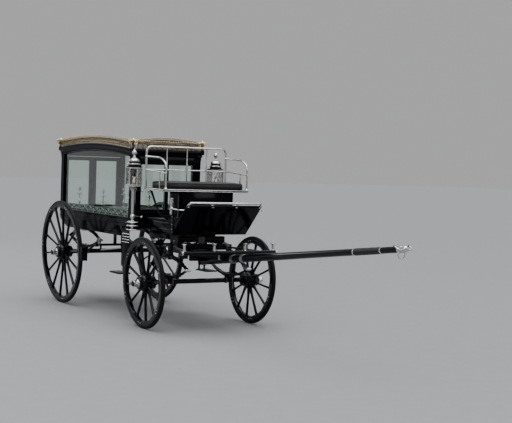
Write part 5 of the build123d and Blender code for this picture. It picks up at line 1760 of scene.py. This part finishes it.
@dataclass(frozen=True)
class CarriageLamps:
    """Pair of candle lamps: stem with ball and rings, six bevelled panes, stepped dome and finial."""

    x: float = -0.86
    y: float = 0.505
    foot: float = 0.97
    low: float = 1.462
    high: float = 1.652
    corner: float = 0.095
    bracket_levels: Pair = (1.119, 1.403)
    disc_levels: Triple = (0, 43, 81)
    disc_rows: tuple[int, ...] = (2, 11, 20)
    disc: Profile = ((58, 8), (64, 11), (66, 14), (64, 17), (58, 20))
    stem: Profile = (
        (3, 0), (12, 3), (20, 25), (17.5, 28), (17.5, 46), (21, 49), (20, 67), (17.5, 70), (17.5, 84),
        (21, 87), (22, 107), (14.5, 115), (15.5, 122), (21.5, 130), (26.5, 140), (27.8, 149), (26.5, 158),
        (21.5, 168), (15.5, 176), (16.5, 180), (20.5, 188), (20.5, 436), (26, 441), (39, 446), (40, 451),
        (34, 457), (28, 463), (36, 469), (58, 475), (60, 479), (60, 483))
    band: Profile = ((88, 0), (91, 2), (91, 4.5), (86, 7), (68, 9.5), (65.5, 13), (65.5, 25))
    ring: Profile = ((64, 24.5), (68, 26.5), (69.8, 30), (69.8, 38), (67, 42.5), (58, 44.5))
    groove: Profile = ((55.5, 44), (55.5, 61))
    dome: Profile = (
        (54, 60), (59, 62), (60.8, 66), (60.5, 71), (56, 78.5), (49.5, 86), (40, 93), (28, 99.8), (19, 104),
        (14.2, 109), (11.8, 119), (11.8, 132), (14.5, 135), (22.5, 141), (26.5, 149), (27.5, 157),
        (25.5, 165), (21.5, 172), (12.5, 180), (9.5, 186), (7.5, 190), (8.5, 195), (6.5, 200), (3.5, 204.5))

    def turned_stem(self) -> Shell:
        """Stem with the disc let in at three rows of its profile.

        Returns:
            The stem about local Z.
        """
        rows = list(self.stem)
        for row, level in zip(self.disc_rows, self.disc_levels):
            rows[row:row] = [(radius, height + level) for radius, height in self.disc]
        return lathe(mm(rows), 40).shifted(z=self.foot)

    def hexagon(self, low: float, high: float) -> Shell:
        """Six-sided plate about the lamp's own axis."""
        return slab(self.corner * spread(np.cos(around(6)), np.sin(around(6))), low, high)

    def on_faces(self, shell: Shell, away: float) -> Shell:
        """A shell repeated on the six faces, drawn in from the corners by a distance."""
        apothem = (self.corner - away) * cos(pi / 6)
        face = oriented((apothem, 0, (self.low + self.high) / 2), ACROSS, ALONG)
        return shell.moved(face).ringed(around(6) + pi / 6)

    def panes(self) -> Shell:
        """Six panes, each a slab whose outer face falls in a wide bevel to its edges."""
        base = rectangle(self.corner - 0.02, self.high - self.low - 0.004, 0.004, 3)
        return self.on_faces(stepped(base, mm(((0, -4), (0, 1), (12, 4.5), (12.5, 4.5)))), 0.016)

    def bars(self) -> Shell:
        """Slim bright frame round each pane."""
        base = rectangle(self.corner - 0.012, self.high - self.low - 0.002, 0.003, 2)
        return self.on_faces(window_frame(base, inset(base, 0.008), -0.003, 0.003, 0.0015), 0.009)

    def posts(self) -> Shell:
        """Reeded corner posts of the lantern."""
        foot = mm(((7, 0), (7, 8), (5, 12)))
        profile = np.concatenate((foot + (0, self.low), (foot * (1, -1) + (0, self.high))[::-1]))
        return lathe(profile, 12, lobes=6, depth=0.06).ringed(around(6), self.corner - 0.0075)

    def brackets(self) -> tuple[Shell, Shell]:
        """Two scrolled arms from the front pillar with collars, balls and plates.

        Returns:
            The arms, and then their bright fittings, on the left.
        """
        inner, front = CARRIAGE.half_width - 0.02, CARRIAGE.body_front
        route = softened(((front, inner, 0), (self.x, inner, 0), (self.x, self.y - 0.01, 0)), 0.05, 9)
        collar = lathe(mm(((22, -7), (25.5, -5), (26.2, 0), (25.5, 5), (22, 7))), 28)
        plate = slab(rectangle(0.03, 0.05, 0.008), 0, 0.006)
        bright = joined((collar.shifted(self.x, self.y), ball((self.x, inner, 0), 0.0135, 14),
                         plate.moved(oriented((front, inner, 0), ACROSS, ALONG))))
        spots = [(0, 0, level) for level in self.bracket_levels]
        return tube(route, 0.0078, 12, UP).at(spots), bright.at(spots)

    def build(self) -> None:
        """Makes the metalwork and the glass of both lamps."""
        top = self.high + 0.006
        arms, fittings = self.brackets()
        band, groove, ring, dome = (lathe(mm(profile), count).shifted(z=top) for profile, count in (
            (self.band, 48), (self.groove, 48), (self.ring, 48), (self.dome, 40)))
        candle = lathe(mm(((15.5, 0), (15.5, 90), (12, 94), (0.5, 95))), 20).shifted(z=self.low)
        holder = lathe(mm(((30, 0), (30, 4), (17.5, 8), (17.5, 30), (16.5, 30))), 24).shifted(z=self.low)
        silver = joined((self.turned_stem(), ring, dome, self.hexagon(self.foot + 0.483, self.low),
                         self.hexagon(self.high, top), self.posts(), self.bars(), holder))
        metal = Piece("carriage_lamp_metalwork")
        for finish, shell in ((SILVER, silver), (BODY_ENAMEL, joined((band, groove))), (CANDLE, candle)):
            metal.add(finish, shell.shifted(self.x, self.y).both())
        metal.add(GEAR_ENAMEL, arms.both()).add(SILVER, fittings.both())
        metal.build("carriage_lamps", slot="silver_plate")
        glass = Piece("lamp_cut_panes").add(LAMP_GLASS, self.panes().shifted(self.x, self.y).both())
        glass.build("lamp_glasses", slot="plate_glass")


@dataclass(frozen=True)
class BierFurniture:
    """Boarded bier deck with bright strips and rollers, and the pins on their side rails."""

    top: float = 1.13
    half: float = 0.262
    ends: float = 0.06
    boards: int = 5
    bearer_z: float = 1.089
    rail_y: float = 0.3
    rail_z: float = 1.1
    stem: Profile = (
        (19.5, 0), (20, 2), (20, 5), (13, 9), (8.5, 13), (7.5, 50), (11.5, 56), (12.5, 64), (11.5, 72),
        (7.5, 78), (7.5, 150), (11.5, 156), (12.8, 168), (11.5, 180), (7.8, 186), (8.5, 213), (12, 219),
        (13, 225), (13, 239), (10, 245), (0.5, 250))

    def pin(self) -> Shell:
        """Turned pin with three cross arms that end in balls.

        Returns:
            The pin, its foot at the origin.
        """
        shells = [lathe(mm(self.stem), 24)]
        for z, reach in ((0.225, 0.034), (0.168, 0.05), (0.064, 0.026)):
            x = np.linspace(-reach, reach, 9)
            route = spread(x, 0, z + 0.006 * np.cos(x / reach * pi))
            shells.append(tube(route, 0.0042 + 0.0018 * np.cos(x / reach * 2 * pi), 8))
            tip = reach + 0.004
            shells.append(ball((0, 0, z - 0.006), 0.0085, 10).at(((-tip, 0, 0), (tip, 0, 0))))
        return joined(shells)

    def build(self) -> None:
        """Makes the deck and the pins."""
        length, wide, x = CARRIAGE.length - 2 * self.ends, 2 * self.half / self.boards, CARRIAGE.middle
        board = block((length, wide - 0.0015, 0.022), (x, 0, self.top - 0.011), 0.002)
        bearer = block((length - 0.08, 0.05, 0.038), (x, self.half - 0.06, self.bearer_z), 0.002)
        lines = (np.arange(self.boards) + 0.5) * wide - self.half
        deck = Piece("boarded_deck").add(DECK, board.at(spread(0, lines, 0)), bearer.both())
        strip = block((length - 0.04, 0.012, 0.0024), (x, 0, self.top + 0.0008), 0.0008)
        cup = lathe(mm(((9, -12), (9, 1.2), (16, 1.2), (17, 0), (17, -2), (9.5, -12))), 20, closed=True)
        cups = cup.at([(x + end * 0.56, 0.15, self.top) for end in (-1, 1)])
        deck.add(SILVER, strip.at([(0, y, 0) for y in (-0.157, -0.052, 0.052, 0.157)]), cups.both())
        deck.build("bier_deck", slot="deck_wood")
        rail = block((length, 0.064, 0.06), (x, self.rail_y, self.rail_z), 0.004)
        trim = block((length - 0.02, 0.004, 0.012), (x, self.rail_y + 0.0325, self.rail_z + 0.016), 0.001)
        apart = 0.34 * CARRIAGE.length
        pins = self.pin().at(spread(np.array((x - apart, x, x + apart)), self.rail_y, self.top))
        rails = Piece("bier_pin_rails").add(DECK, rail.both()).add(SILVER, trim.both(), pins.both())
        rails.build("bier_pins", slot="silver_plate")


# Driver's place


@dataclass(frozen=True)
class Boot:
    """Boot under the driver's feet: swept nose, edge beads and a slim panel line on each side."""

    rear: float = -1.051
    front: float = -0.1
    half: float = 0.32
    low: float = 0.9805
    high: float = 1.12
    sweep: float = 0.19

    def outline(self) -> Floats:
        """Side outline in (x, z), its nose a power curve z = low + rise t^2.6.

        Returns:
            The outline, anticlockwise.
        """
        t = np.linspace(0, 1, 14)
        nose = spread(self.front - self.sweep * (1 - t), self.low + 0.0697 * t**2.6)
        top = ((self.front, self.high), (self.rear, self.high))
        return np.concatenate((((self.rear, self.low),), nose, top))

    def build(self) -> None:
        """Makes the boot."""
        shape, y, z = self.outline(), self.half + 0.0045, self.high - 0.008
        x, up = inset(shape, 0.034).T
        edge = tube(((self.rear, y, z), (self.front, y, z)), 0.0078, 10, UP, flat=0.55)
        line = tube(spread(x, self.half + 0.0004, up), 0.002, 6, closed=True)
        body = slab(shape, -self.half, self.half, 0.004).moved(SIDE_PLANE)
        Piece("driver_boot").add(BODY_ENAMEL, body, edge.both(), line.both()).build("boot")


@dataclass(frozen=True)
class Footwell:
    """Raked toe board with its ribbed mat, the bright rail and horns, and the whip socket."""

    foot: Pair = (-0.1, 1.0)
    top: Pair = (0.23, 1.3)
    thick: float = 0.024
    half: float = 0.44
    rail: float = 0.011
    socket_x: float = -0.045
    socket: Profile = (
        (3, -14), (9, -13.5), (11.5, -9), (16.5, 0), (16.8, 30), (20.5, 34), (21, 41), (20.5, 46), (16.5, 51),
        (17.5, 137), (20.5, 140), (23.5, 146), (24, 150), (23.5, 154), (22, 155), (14.2, 155), (13.1, 153.5),
        (13.1, 25), (1, 24.8))

    @property
    def along(self) -> Floats:
        """Direction up the board in (x, z)."""
        run = np.subtract(self.top, self.foot)
        return run / np.linalg.norm(run)

    @property
    def under(self) -> Floats:
        """Step through the board's thickness in (x, z)."""
        return self.thick * np.array((self.along[1], -self.along[0]))

    def across(self, spot: Floats, end: float, radius: float, sides: int) -> Shell:
        """Round bar across the carriage at a spot in (x, z), to an end on both sides."""
        return tube(((spot[0], -end, spot[1]), (spot[0], end, spot[1])), radius, sides, UP)

    def build_board(self) -> None:
        """Makes the toe board."""
        a, b, along, under = np.array(self.foot), np.array(self.top), self.along, self.under
        board = slab(np.array((a, a + under + (0.03, 0), b + under, b)), -self.half, self.half, 0.003)
        low, high, deep = a + along * 0.03, b - along * 0.02, under * 0.11
        mat = slab(np.array((low - deep, high - deep, high, low)), 0.03 - self.half, self.half - 0.03, 0.0008)
        x, z = (a - deep + along * np.linspace(0.05, 0.41, 20)[:, None]).T
        rib = tube(((0, 0.034 - self.half, 0), (0, self.half - 0.034, 0)), 0.0022, 8, UP)
        piece = Piece("raked_toe_board").add(BODY_ENAMEL, board.moved(SIDE_PLANE))
        piece.add(MAT, mat.moved(SIDE_PLANE), rib.at(spread(x, 0, z)))
        piece.add(BODY_ENAMEL, self.across(b + under * 0.5, self.half - 0.002, 0.0135, 14))
        piece.add(SILVER, self.across(a + under * 1.02 + along * 0.05, self.half - 0.006, 0.003, 8))
        piece.build("toe_board")

    def build_rail(self) -> None:
        """Makes the rail over the board and the two horns with their balls."""
        (x, z), along, end = self.top + self.under / 2, self.along, self.half - 0.02
        top_x, top_z = (x, z) + along * 0.052
        route = ((x, -end, z), (top_x, -end, top_z), (top_x, end, top_z), (x, end, z))
        rail = tube(softened(route, 0.026, 8), self.rail, 16, (-along[1], 0, along[0]))
        piece = Piece("bright_toe_rail").add(SILVER, rail)
        collar = lathe(mm(((18, -4), (19.5, 0), (18, 4), (12, 6))), 24)
        collars = collar.moved(oriented((x, 0, z), ACROSS, (along[0], 0, along[1])))
        stay = end * 0.33
        piece.add(SILVER, collars.at(((0, end, 0), (0, stay, 0))).both())
        piece.add(SILVER, tube(((x, stay, z), (top_x, stay, top_z)), 0.008).both())
        horn = flowing(((0.192, 0.44, 1.25), (0.19, 0.474, 1.25), (0.16, 0.488, 1.2505), (0.08, 0.488, 1.254),
                        (0.012, 0.488, 1.258)), 7)
        piece.add(SILVER, tube(horn, np.linspace(0.0082, 0.0066, len(horn)), 12, UP).both())
        piece.add(SILVER, ball((0.008, 0.488, 1.258), 0.0148, 20).both())
        piece.build("toe_rail", slot="silver_plate")

    def build_socket(self) -> None:
        """Makes the whip socket, hollow to 130 mm, with its bracket."""
        piece, x = Piece("whip_holder"), self.socket_x
        piece.add(SILVER, lathe(mm(self.socket)).shifted(x, -0.462, 1.205))
        bracket = slab(rectangle(0.032, 0.236, 0.012, 5), -0.0045, 0.0045, 0.0015)
        piece.add(GEAR_ENAMEL, bracket.moved(SIDE_PLANE).shifted(x, -0.445, 1.142))
        piece.add(STEEL, ball((x, -0.4505, 0), 0.004, 10).at([(0, 0, z) for z in (1.04, 1.09, 1.17)]))
        piece.build("whip_socket", slot="silver_plate")


@dataclass(frozen=True)
class DriversSeat:
    """Box seat: board with double bright mouldings, panelled riser, curved irons and bright rails."""

    back: float = -0.59
    front: float = -0.12
    half: float = 0.5
    top: float = 1.45
    board: float = 0.028
    riser: Pair = (-0.37, -0.14)
    riser_half: float = 0.32
    foot: float = 1.12
    rail: float = 0.011
    rail_top: float = 1.885
    arm: float = 1.78
    rod: float = 1.64
    rod_front: float = 1.612

    def build_frame(self) -> None:
        """Makes the board, riser and irons."""
        x, length, wide = (self.back + self.front) / 2, self.front - self.back, 2 * self.half
        low, high, thick = self.foot, self.top - self.board, 0.028
        piece = Piece("box_seat_frame")
        piece.add(BODY_ENAMEL, slab(rectangle(length, wide, 0.02, 5), high, self.top, 0.003).shifted(x))
        edge = rectangle(length + 0.001, wide + 0.001, 0.02, 6) + (x, 0)
        band = tube(spread(*edge.T, self.top), 0.0042, 10, UP, closed=True)
        piece.add(SILVER, band.at(((0, 0, -0.0065), (0, 0, -0.0215))))
        outline = box_outline(*self.riser, low, high, 2)[[0, 1, 6, 7]]
        cheek = slab(outline, -thick / 2, thick / 2, 0.003).moved(SIDE_PLANE)
        piece.add(BODY_ENAMEL, cheek.shifted(y=self.riser_half - thick / 2).both())
        line_x, line_z = inset(outline, 0.03).T
        line = tube(spread(line_x, self.riser_half + 0.0004, line_z), 0.0016, 6, closed=True)
        route = softened(((-0.54, 0.455, self.top - 0.02), (-0.41, 0.455, 1.27), (-0.36, 0.425, 1.16),
                          (-0.28, 0.3, 1.15)), 0.06, 9)
        width = np.interp(np.linspace(0, 1, len(route)), (0, 0.2, 0.8, 1), mm((12, 10.5, 11.5, 12)))
        piece.add(SILVER, line.both()).add(GEAR_ENAMEL, tube(route, width, 14, (0.6, 0.8, 0)).both())
        panel = (thick, 2 * self.riser_half - 0.002, high - low)
        piece.add(BODY_ENAMEL, block(panel, (self.riser[1] - thick / 2, 0, (low + high) / 2)))
        piece.build("seat_frame")

    def spindle(self, low: float, high: float) -> Shell:
        """Turned spindle between two heights.

        Args:
            low: Height of its foot.
            high: Height of its top.

        Returns:
            The spindle on the Z axis.
        """
        r, half = 0.0062, (high - low) / 2
        upper = mm(((5.5, 12), (1, 32), (3, 40), (0, 50))) + (r, 0)
        profile = np.concatenate((((r, -half),), upper[::-1] * (1, -1), upper, ((r, half),)))
        return lathe(profile, 16).shifted(z=low + half)

    def build_rails(self) -> None:
        """Makes the back rail, arms, middle rods and spindles."""
        x, y, front = self.back - 0.014, self.half - 0.014, self.front - 0.02
        low, high, top = self.top - self.board, self.rail_top, self.top
        hoop = softened(((x, -y, low), (x, -y, high), (x, y, high), (x, y, low)), 0.07, 10)
        route = softened(((x, y, self.arm), (self.front - 0.15, y, self.arm - 0.008),
                          (front, y, self.arm - 0.07), (front, y, top - 0.002)), 0.06, 9)
        cup = lathe(mm(((20, 0), (20, 4), (14, 9), (12, 20))), 24)
        rod = ((x, y, self.rod), (front, y, self.rod_front))
        side = (tube(route, self.rail - 0.001, 16), tube(rod, 0.007), ball((x, y, self.arm), 0.0155),
                ball(rod[0], 0.0135), ball(rod[1], 0.0125), cup.at(((front, y, top), (x, y, low))),
                self.spindle(top, 1.62).shifted(front - 0.14, y))
        piece = Piece("bright_seat_rails").add(SILVER, tube(hoop, self.rail, 16, ALONG), joined(side).both())
        piece.add(IRON, block((0.018, 0.028, 0.026), (self.back - 0.009, y, top - 0.014), 0.002).both())
        back = self.spindle(low, high - 0.006).at(((x, -y / 2, 0), (x, 0, 0), (x, y / 2, 0)))
        piece.add(SILVER, back, tube(((x, -y, self.rod), (x, y, self.rod)), 0.007, 12, UP))
        piece.add(IRON, block((0.014, 2 * y, 0.016), (x + 0.007, 0, top - 0.014), 0.002))
        piece.build("seat_rails", slot="silver_plate")


def mesh_points(mesh: bpy.types.Mesh) -> Floats:
    """Vertices of a mesh as an array."""
    points = np.empty(len(mesh.vertices) * 3, np.float32)
    mesh.vertices.foreach_get("co", points)
    return points.reshape(-1, 3).astype(float)


def evaluated(thing: bpy.types.Object) -> bpy.types.Object:
    """The object with its modifiers applied."""
    return thing.evaluated_get(bpy.context.evaluated_depsgraph_get())


@dataclass(frozen=True)
class SeatCushion:
    """Buttoned leather driving cushion, swelled by cloth simulation, with piped seams."""

    x: float = -0.345
    length: float = 0.43
    width: float = 0.94
    low: float = 1.45
    height: float = 0.085
    rows: int = 3
    columns: int = 8
    swell: float = 0.012
    voxel: float = 0.0061
    frames: int = 20
    seams: Pair = (0.007, 0.061)

    def buttons(self) -> Floats:
        """Places of the buttons, every other row shifted by half a step.

        Returns:
            One row of (x, y) for each button.
        """
        spots = []
        for row in range(self.rows):
            x = self.x + (row - (self.rows - 1) / 2) * self.length / (self.rows + 0.6)
            count = self.columns - (row % 2)
            spots.append(spread(x, (np.arange(count) - (count - 1) / 2) * self.width / (self.columns + 0.4)))
        return np.concatenate(spots)

    def outline(self, less: float) -> Floats:
        """Outline about the cushion's middle, smaller than the cushion by a length."""
        return rectangle(self.length - less, self.width - less, 0.045, 8)

    def core(self) -> Shell:
        """Slightly small block whose sides lean in to the top."""
        rows = mm(((20, 0), (6, 6), (4, 30), (6, 55), (20, 66), (60, 69)))
        return stepped(self.outline(0.024), rows).shifted(self.x, 0, self.low + 0.001)

    def piping(self, shape: Floats, height: float) -> Shell:
        """Piping on the filled sides: the cushion's nearest point all round, evened over five neighbours.

        Args:
            shape: Points of the filled cushion.
            height: Height of the seam over the seat board.

        Returns:
            The piping as a closed tube.
        """
        outline = self.outline(0.01) + (self.x, 0)
        loop = np.vstack((outline, outline[:1]))
        reach = np.concatenate(((0.0,), np.cumsum(np.linalg.norm(np.diff(loop, axis=0), axis=1))))
        steps = np.linspace(0, reach[-1], 160, endpoint=False)
        edge = np.stack([np.interp(steps, reach, column) for column in loop.T], -1)
        level = shape[np.abs(shape[:, 2] - self.low - height) < 0.005]
        nearest = level[np.linalg.norm(level[None, :, :2] - edge[:, None], axis=2).argmin(1)]
        line = sum(np.roll(nearest, shift, 0) for shift in range(-2, 3)) / 5
        line[:, 2] = self.low + height
        return tube(line, 0.0036, 8, UP, closed=True)

    def simulated(self, work: bpy.types.Object, hold: Floats) -> Floats:
        """Points of the work object after cloth under pressure has filled it.

        Args:
            work: Object of the remeshed core.
            hold: How firmly each point is held in place, from 0 to 1.

        Returns:
            The moved points.
        """
        group = work.vertex_groups.new(name="held")
        for index in np.flatnonzero(hold > 0.05):
            group.add([int(index)], float(hold[index]), "REPLACE")
        cloth = work.modifiers.new("cloth", "CLOTH")
        settings = cloth.settings
        settings.quality, settings.mass, settings.bending_stiffness = 6, 0.3, 0.4
        settings.effector_weights.gravity = 0.0
        settings.use_pressure, settings.uniform_pressure_force = True, 4.0
        settings.tension_stiffness = settings.compression_stiffness = 18
        settings.vertex_group_mass = group.name
        cloth.point_cache.frame_start, cloth.point_cache.frame_end = 1, self.frames
        scene = bpy.context.scene
        for step in range(1, self.frames + 1):
            scene.frame_set(step)
        points = mesh_points(evaluated(work).data)
        scene.frame_set(1)
        return points

    def swelled(self) -> bpy.types.Mesh:
        """Remeshes the core, fills it and draws it in under the buttons as exp(-(gap / 17 mm)^2).

        Returns:
            The filled mesh, each point held to the swell limit.
        """
        work = placed("cushion_work", as_mesh("cushion_core", self.core()))
        remesh = work.modifiers.new("remesh", "REMESH")
        remesh.mode, remesh.voxel_size = "VOXEL", self.voxel
        filled = bpy.data.meshes.new_from_object(evaluated(work))
        work.modifiers.clear()
        work.data = filled
        rest, spots = mesh_points(filled), self.buttons()
        near = np.linalg.norm(rest[:, None, :2] - spots[None], axis=2).min(1)
        hold = np.clip(1.25 - near / 0.011, 0, 1) * (rest[:, 2] > self.low + 0.05)
        hold = np.maximum(hold, rest[:, 2] < self.low + 0.004)
        push = self.simulated(work, hold) - rest
        size = np.linalg.norm(push, axis=1, keepdims=True)
        shape = rest + push * np.minimum(1, self.swell / np.maximum(size, 1e-9))
        top = shape[:, 2] > self.low + 0.05
        gap = np.linalg.norm(shape[:, None, :2] - spots[None], axis=2).min(1)
        sunk = shape[:, 2] - top * 0.015 * np.exp(-((gap / 0.017) ** 2))
        shape[:, 2] = np.clip(sunk, self.low + 0.0005, self.low + self.height - 0.0005)
        bpy.data.objects.remove(work)
        filled.vertices.foreach_set("co", shape.astype(np.float32).ravel())
        filled.update()
        return filled

    def build(self) -> None:
        """Makes the cushion, with its buttons and piping as one more piece."""
        filled = self.swelled()
        filled.polygons.foreach_set("use_smooth", np.ones(len(filled.polygons), bool))
        filled.materials.clear()
        filled.materials.append(LEATHER.material())
        cushion = placed("driving_cushion", filled)
        smooth = cushion.modifiers.new("smooth", "SUBSURF")
        smooth.levels = smooth.render_levels = 1
        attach(cushion, Body.CARRIAGE.value)
        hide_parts("seat_cushion")
        head = lathe(mm(((7.5, -3), (8.2, 0), (6.8, 2.8), (3.5, 4.2), (0.3, 4.6))), 16)
        shape, spots = mesh_points(filled), spread(*self.buttons().T, self.low + self.height - 0.024)
        trim = Piece("cushion_buttons_and_piping").add(LEATHER, head.at(spots))
        trim.add(LEATHER, *(self.piping(shape, height) for height in self.seams)).build(slot="seat_leather")


# Studio


@dataclass(frozen=True)
class Studio:
    """Plain pale floor and soft light."""

    reach: float = 70.0
    horizon: Triple = (0.43, 0.434, 0.438)
    zenith: Triple = (6.0, 6.2, 6.6)
    aim: Triple = (-1.2, 0.0, 1.0)
    lamps: tuple[tuple[str, Triple, float, float], ...] = (
        ("key", (5.0, -9.0, 7.0), 4.0, 350.0),
        ("front_fill", (9.0, 5.0, 5.0), 3.0, 120.0),
        ("rear_fill", (-10.0, -3.0, 5.0), 3.0, 150.0))

    def build(self) -> None:
        """Lays the floor, hangs the lamps and sets the sky, which brightens from the horizon upwards."""
        span = np.linspace(-self.reach, self.reach, 9)
        mesh = as_mesh("studio_floor", grid(spread(span[:, None], span, 0.0), wrap_columns=False))
        mesh.materials.append(FLOOR.material())
        placed("studio_floor", mesh)
        for name, place, size, power in self.lamps:
            light = bpy.data.lights.new(name, "AREA")
            light.shape, light.size, light.energy = "SQUARE", size, power
            lamp = placed(name, light)
            lamp.location = place
            lamp.rotation_euler = (Vector(self.aim) - Vector(place)).to_track_quat("-Z", "Y").to_euler()
        world = bpy.data.worlds.new("studio_sky")
        world.use_nodes = True
        bench = NodeBench(world.node_tree)
        up = bench.ranged(bench.upward("Position"), 0.72, 0.98, easing="SMOOTHSTEP")
        sky = bench.blend(up, self.horizon, self.zenith)
        bench.feed(world.node_tree.nodes["Background"].inputs["Color"], sky)
        bpy.context.scene.world = world


@dataclass(frozen=True)
class ViewCamera:
    """Camera at the photograph's viewing angle."""

    place: Triple = (10.39, -5.895, 1.77)
    yaw: float = 2.588
    down: float = 0.044
    roll: float = -0.034
    lens: float = 80.8

    def build(self) -> None:
        """Makes the camera from its yaw, tilt and roll."""
        ahead = Vector((cos(self.yaw) * cos(self.down), sin(self.yaw) * cos(self.down), -sin(self.down)))
        right = Vector((sin(self.yaw), -cos(self.yaw), 0.0))
        below = ahead.cross(right)
        turned = cos(self.roll) * right + sin(self.roll) * below
        lower = -sin(self.roll) * right + cos(self.roll) * below
        matrix = Matrix((turned, -lower, -ahead)).transposed().to_4x4()
        matrix.translation = self.place
        data = bpy.data.cameras.new("view")
        data.lens, data.sensor_width, data.sensor_fit = self.lens, 36.0, "HORIZONTAL"
        data.clip_end = 300.0
        camera = placed("view", data)
        camera.matrix_world = matrix
        bpy.context.scene.camera = camera


def build_gear() -> None:
    """Builds the wheels, springs, axles, brake, turntable, draught gear and steps."""
    rear, front = (CARRIAGE.rear_x, 0.61), (CARRIAGE.front_x, 0.474)
    for side in Side:
        RoadWheel("rear", side, *rear, 14).build()
        RoadWheel("front", side, *front, 12).build()
    EllipticSprings("rear", Body.CARRIAGE, rear[0], 0.6405, 1.04, 0.9, 0.25).build()
    EllipticSprings("front", Body.FORECARRIAGE, front[0], 0.5026, 0.808, 0.82, 0.24).build()
    AxleBed("rear", Body.CARRIAGE, *rear, 0.052).build()
    AxleBed("front", Body.FORECARRIAGE, *front, 0.048).build()
    BrakeGear().build()
    turntable, draught = FifthWheel(), Draught()
    for build in (turntable.build_upper, turntable.build_lower, draught.build_futchells, draught.build_bar,
                  draught.build_pole, HangingSteps().build):
        build()


def main() -> None:
    """Builds every sub-assembly in order."""
    logging.basicConfig(level=logging.INFO, format="%(message)s")
    build_gear()
    roof, footwell, seat = Roof(), Footwell(), DriversSeat()
    for assembly in (LowerBody(), SideFrames(), FrontFrame(), RearDoors(), roof, RoofGallery(roof),
                     CornerFinials(), EtchedBand(), BierFurniture(), CarriageLamps(), Boot()):
        assembly.build()
    for build in (footwell.build_board, footwell.build_rail, footwell.build_socket, seat.build_frame,
                  seat.build_rails, SeatCushion().build):
        build()
    dress(PANE, "body_glass", "right_rear_door_glass", "left_rear_door_glass")
    Studio().build()
    ViewCamera().build()


if __name__ == "__main__":
    main()
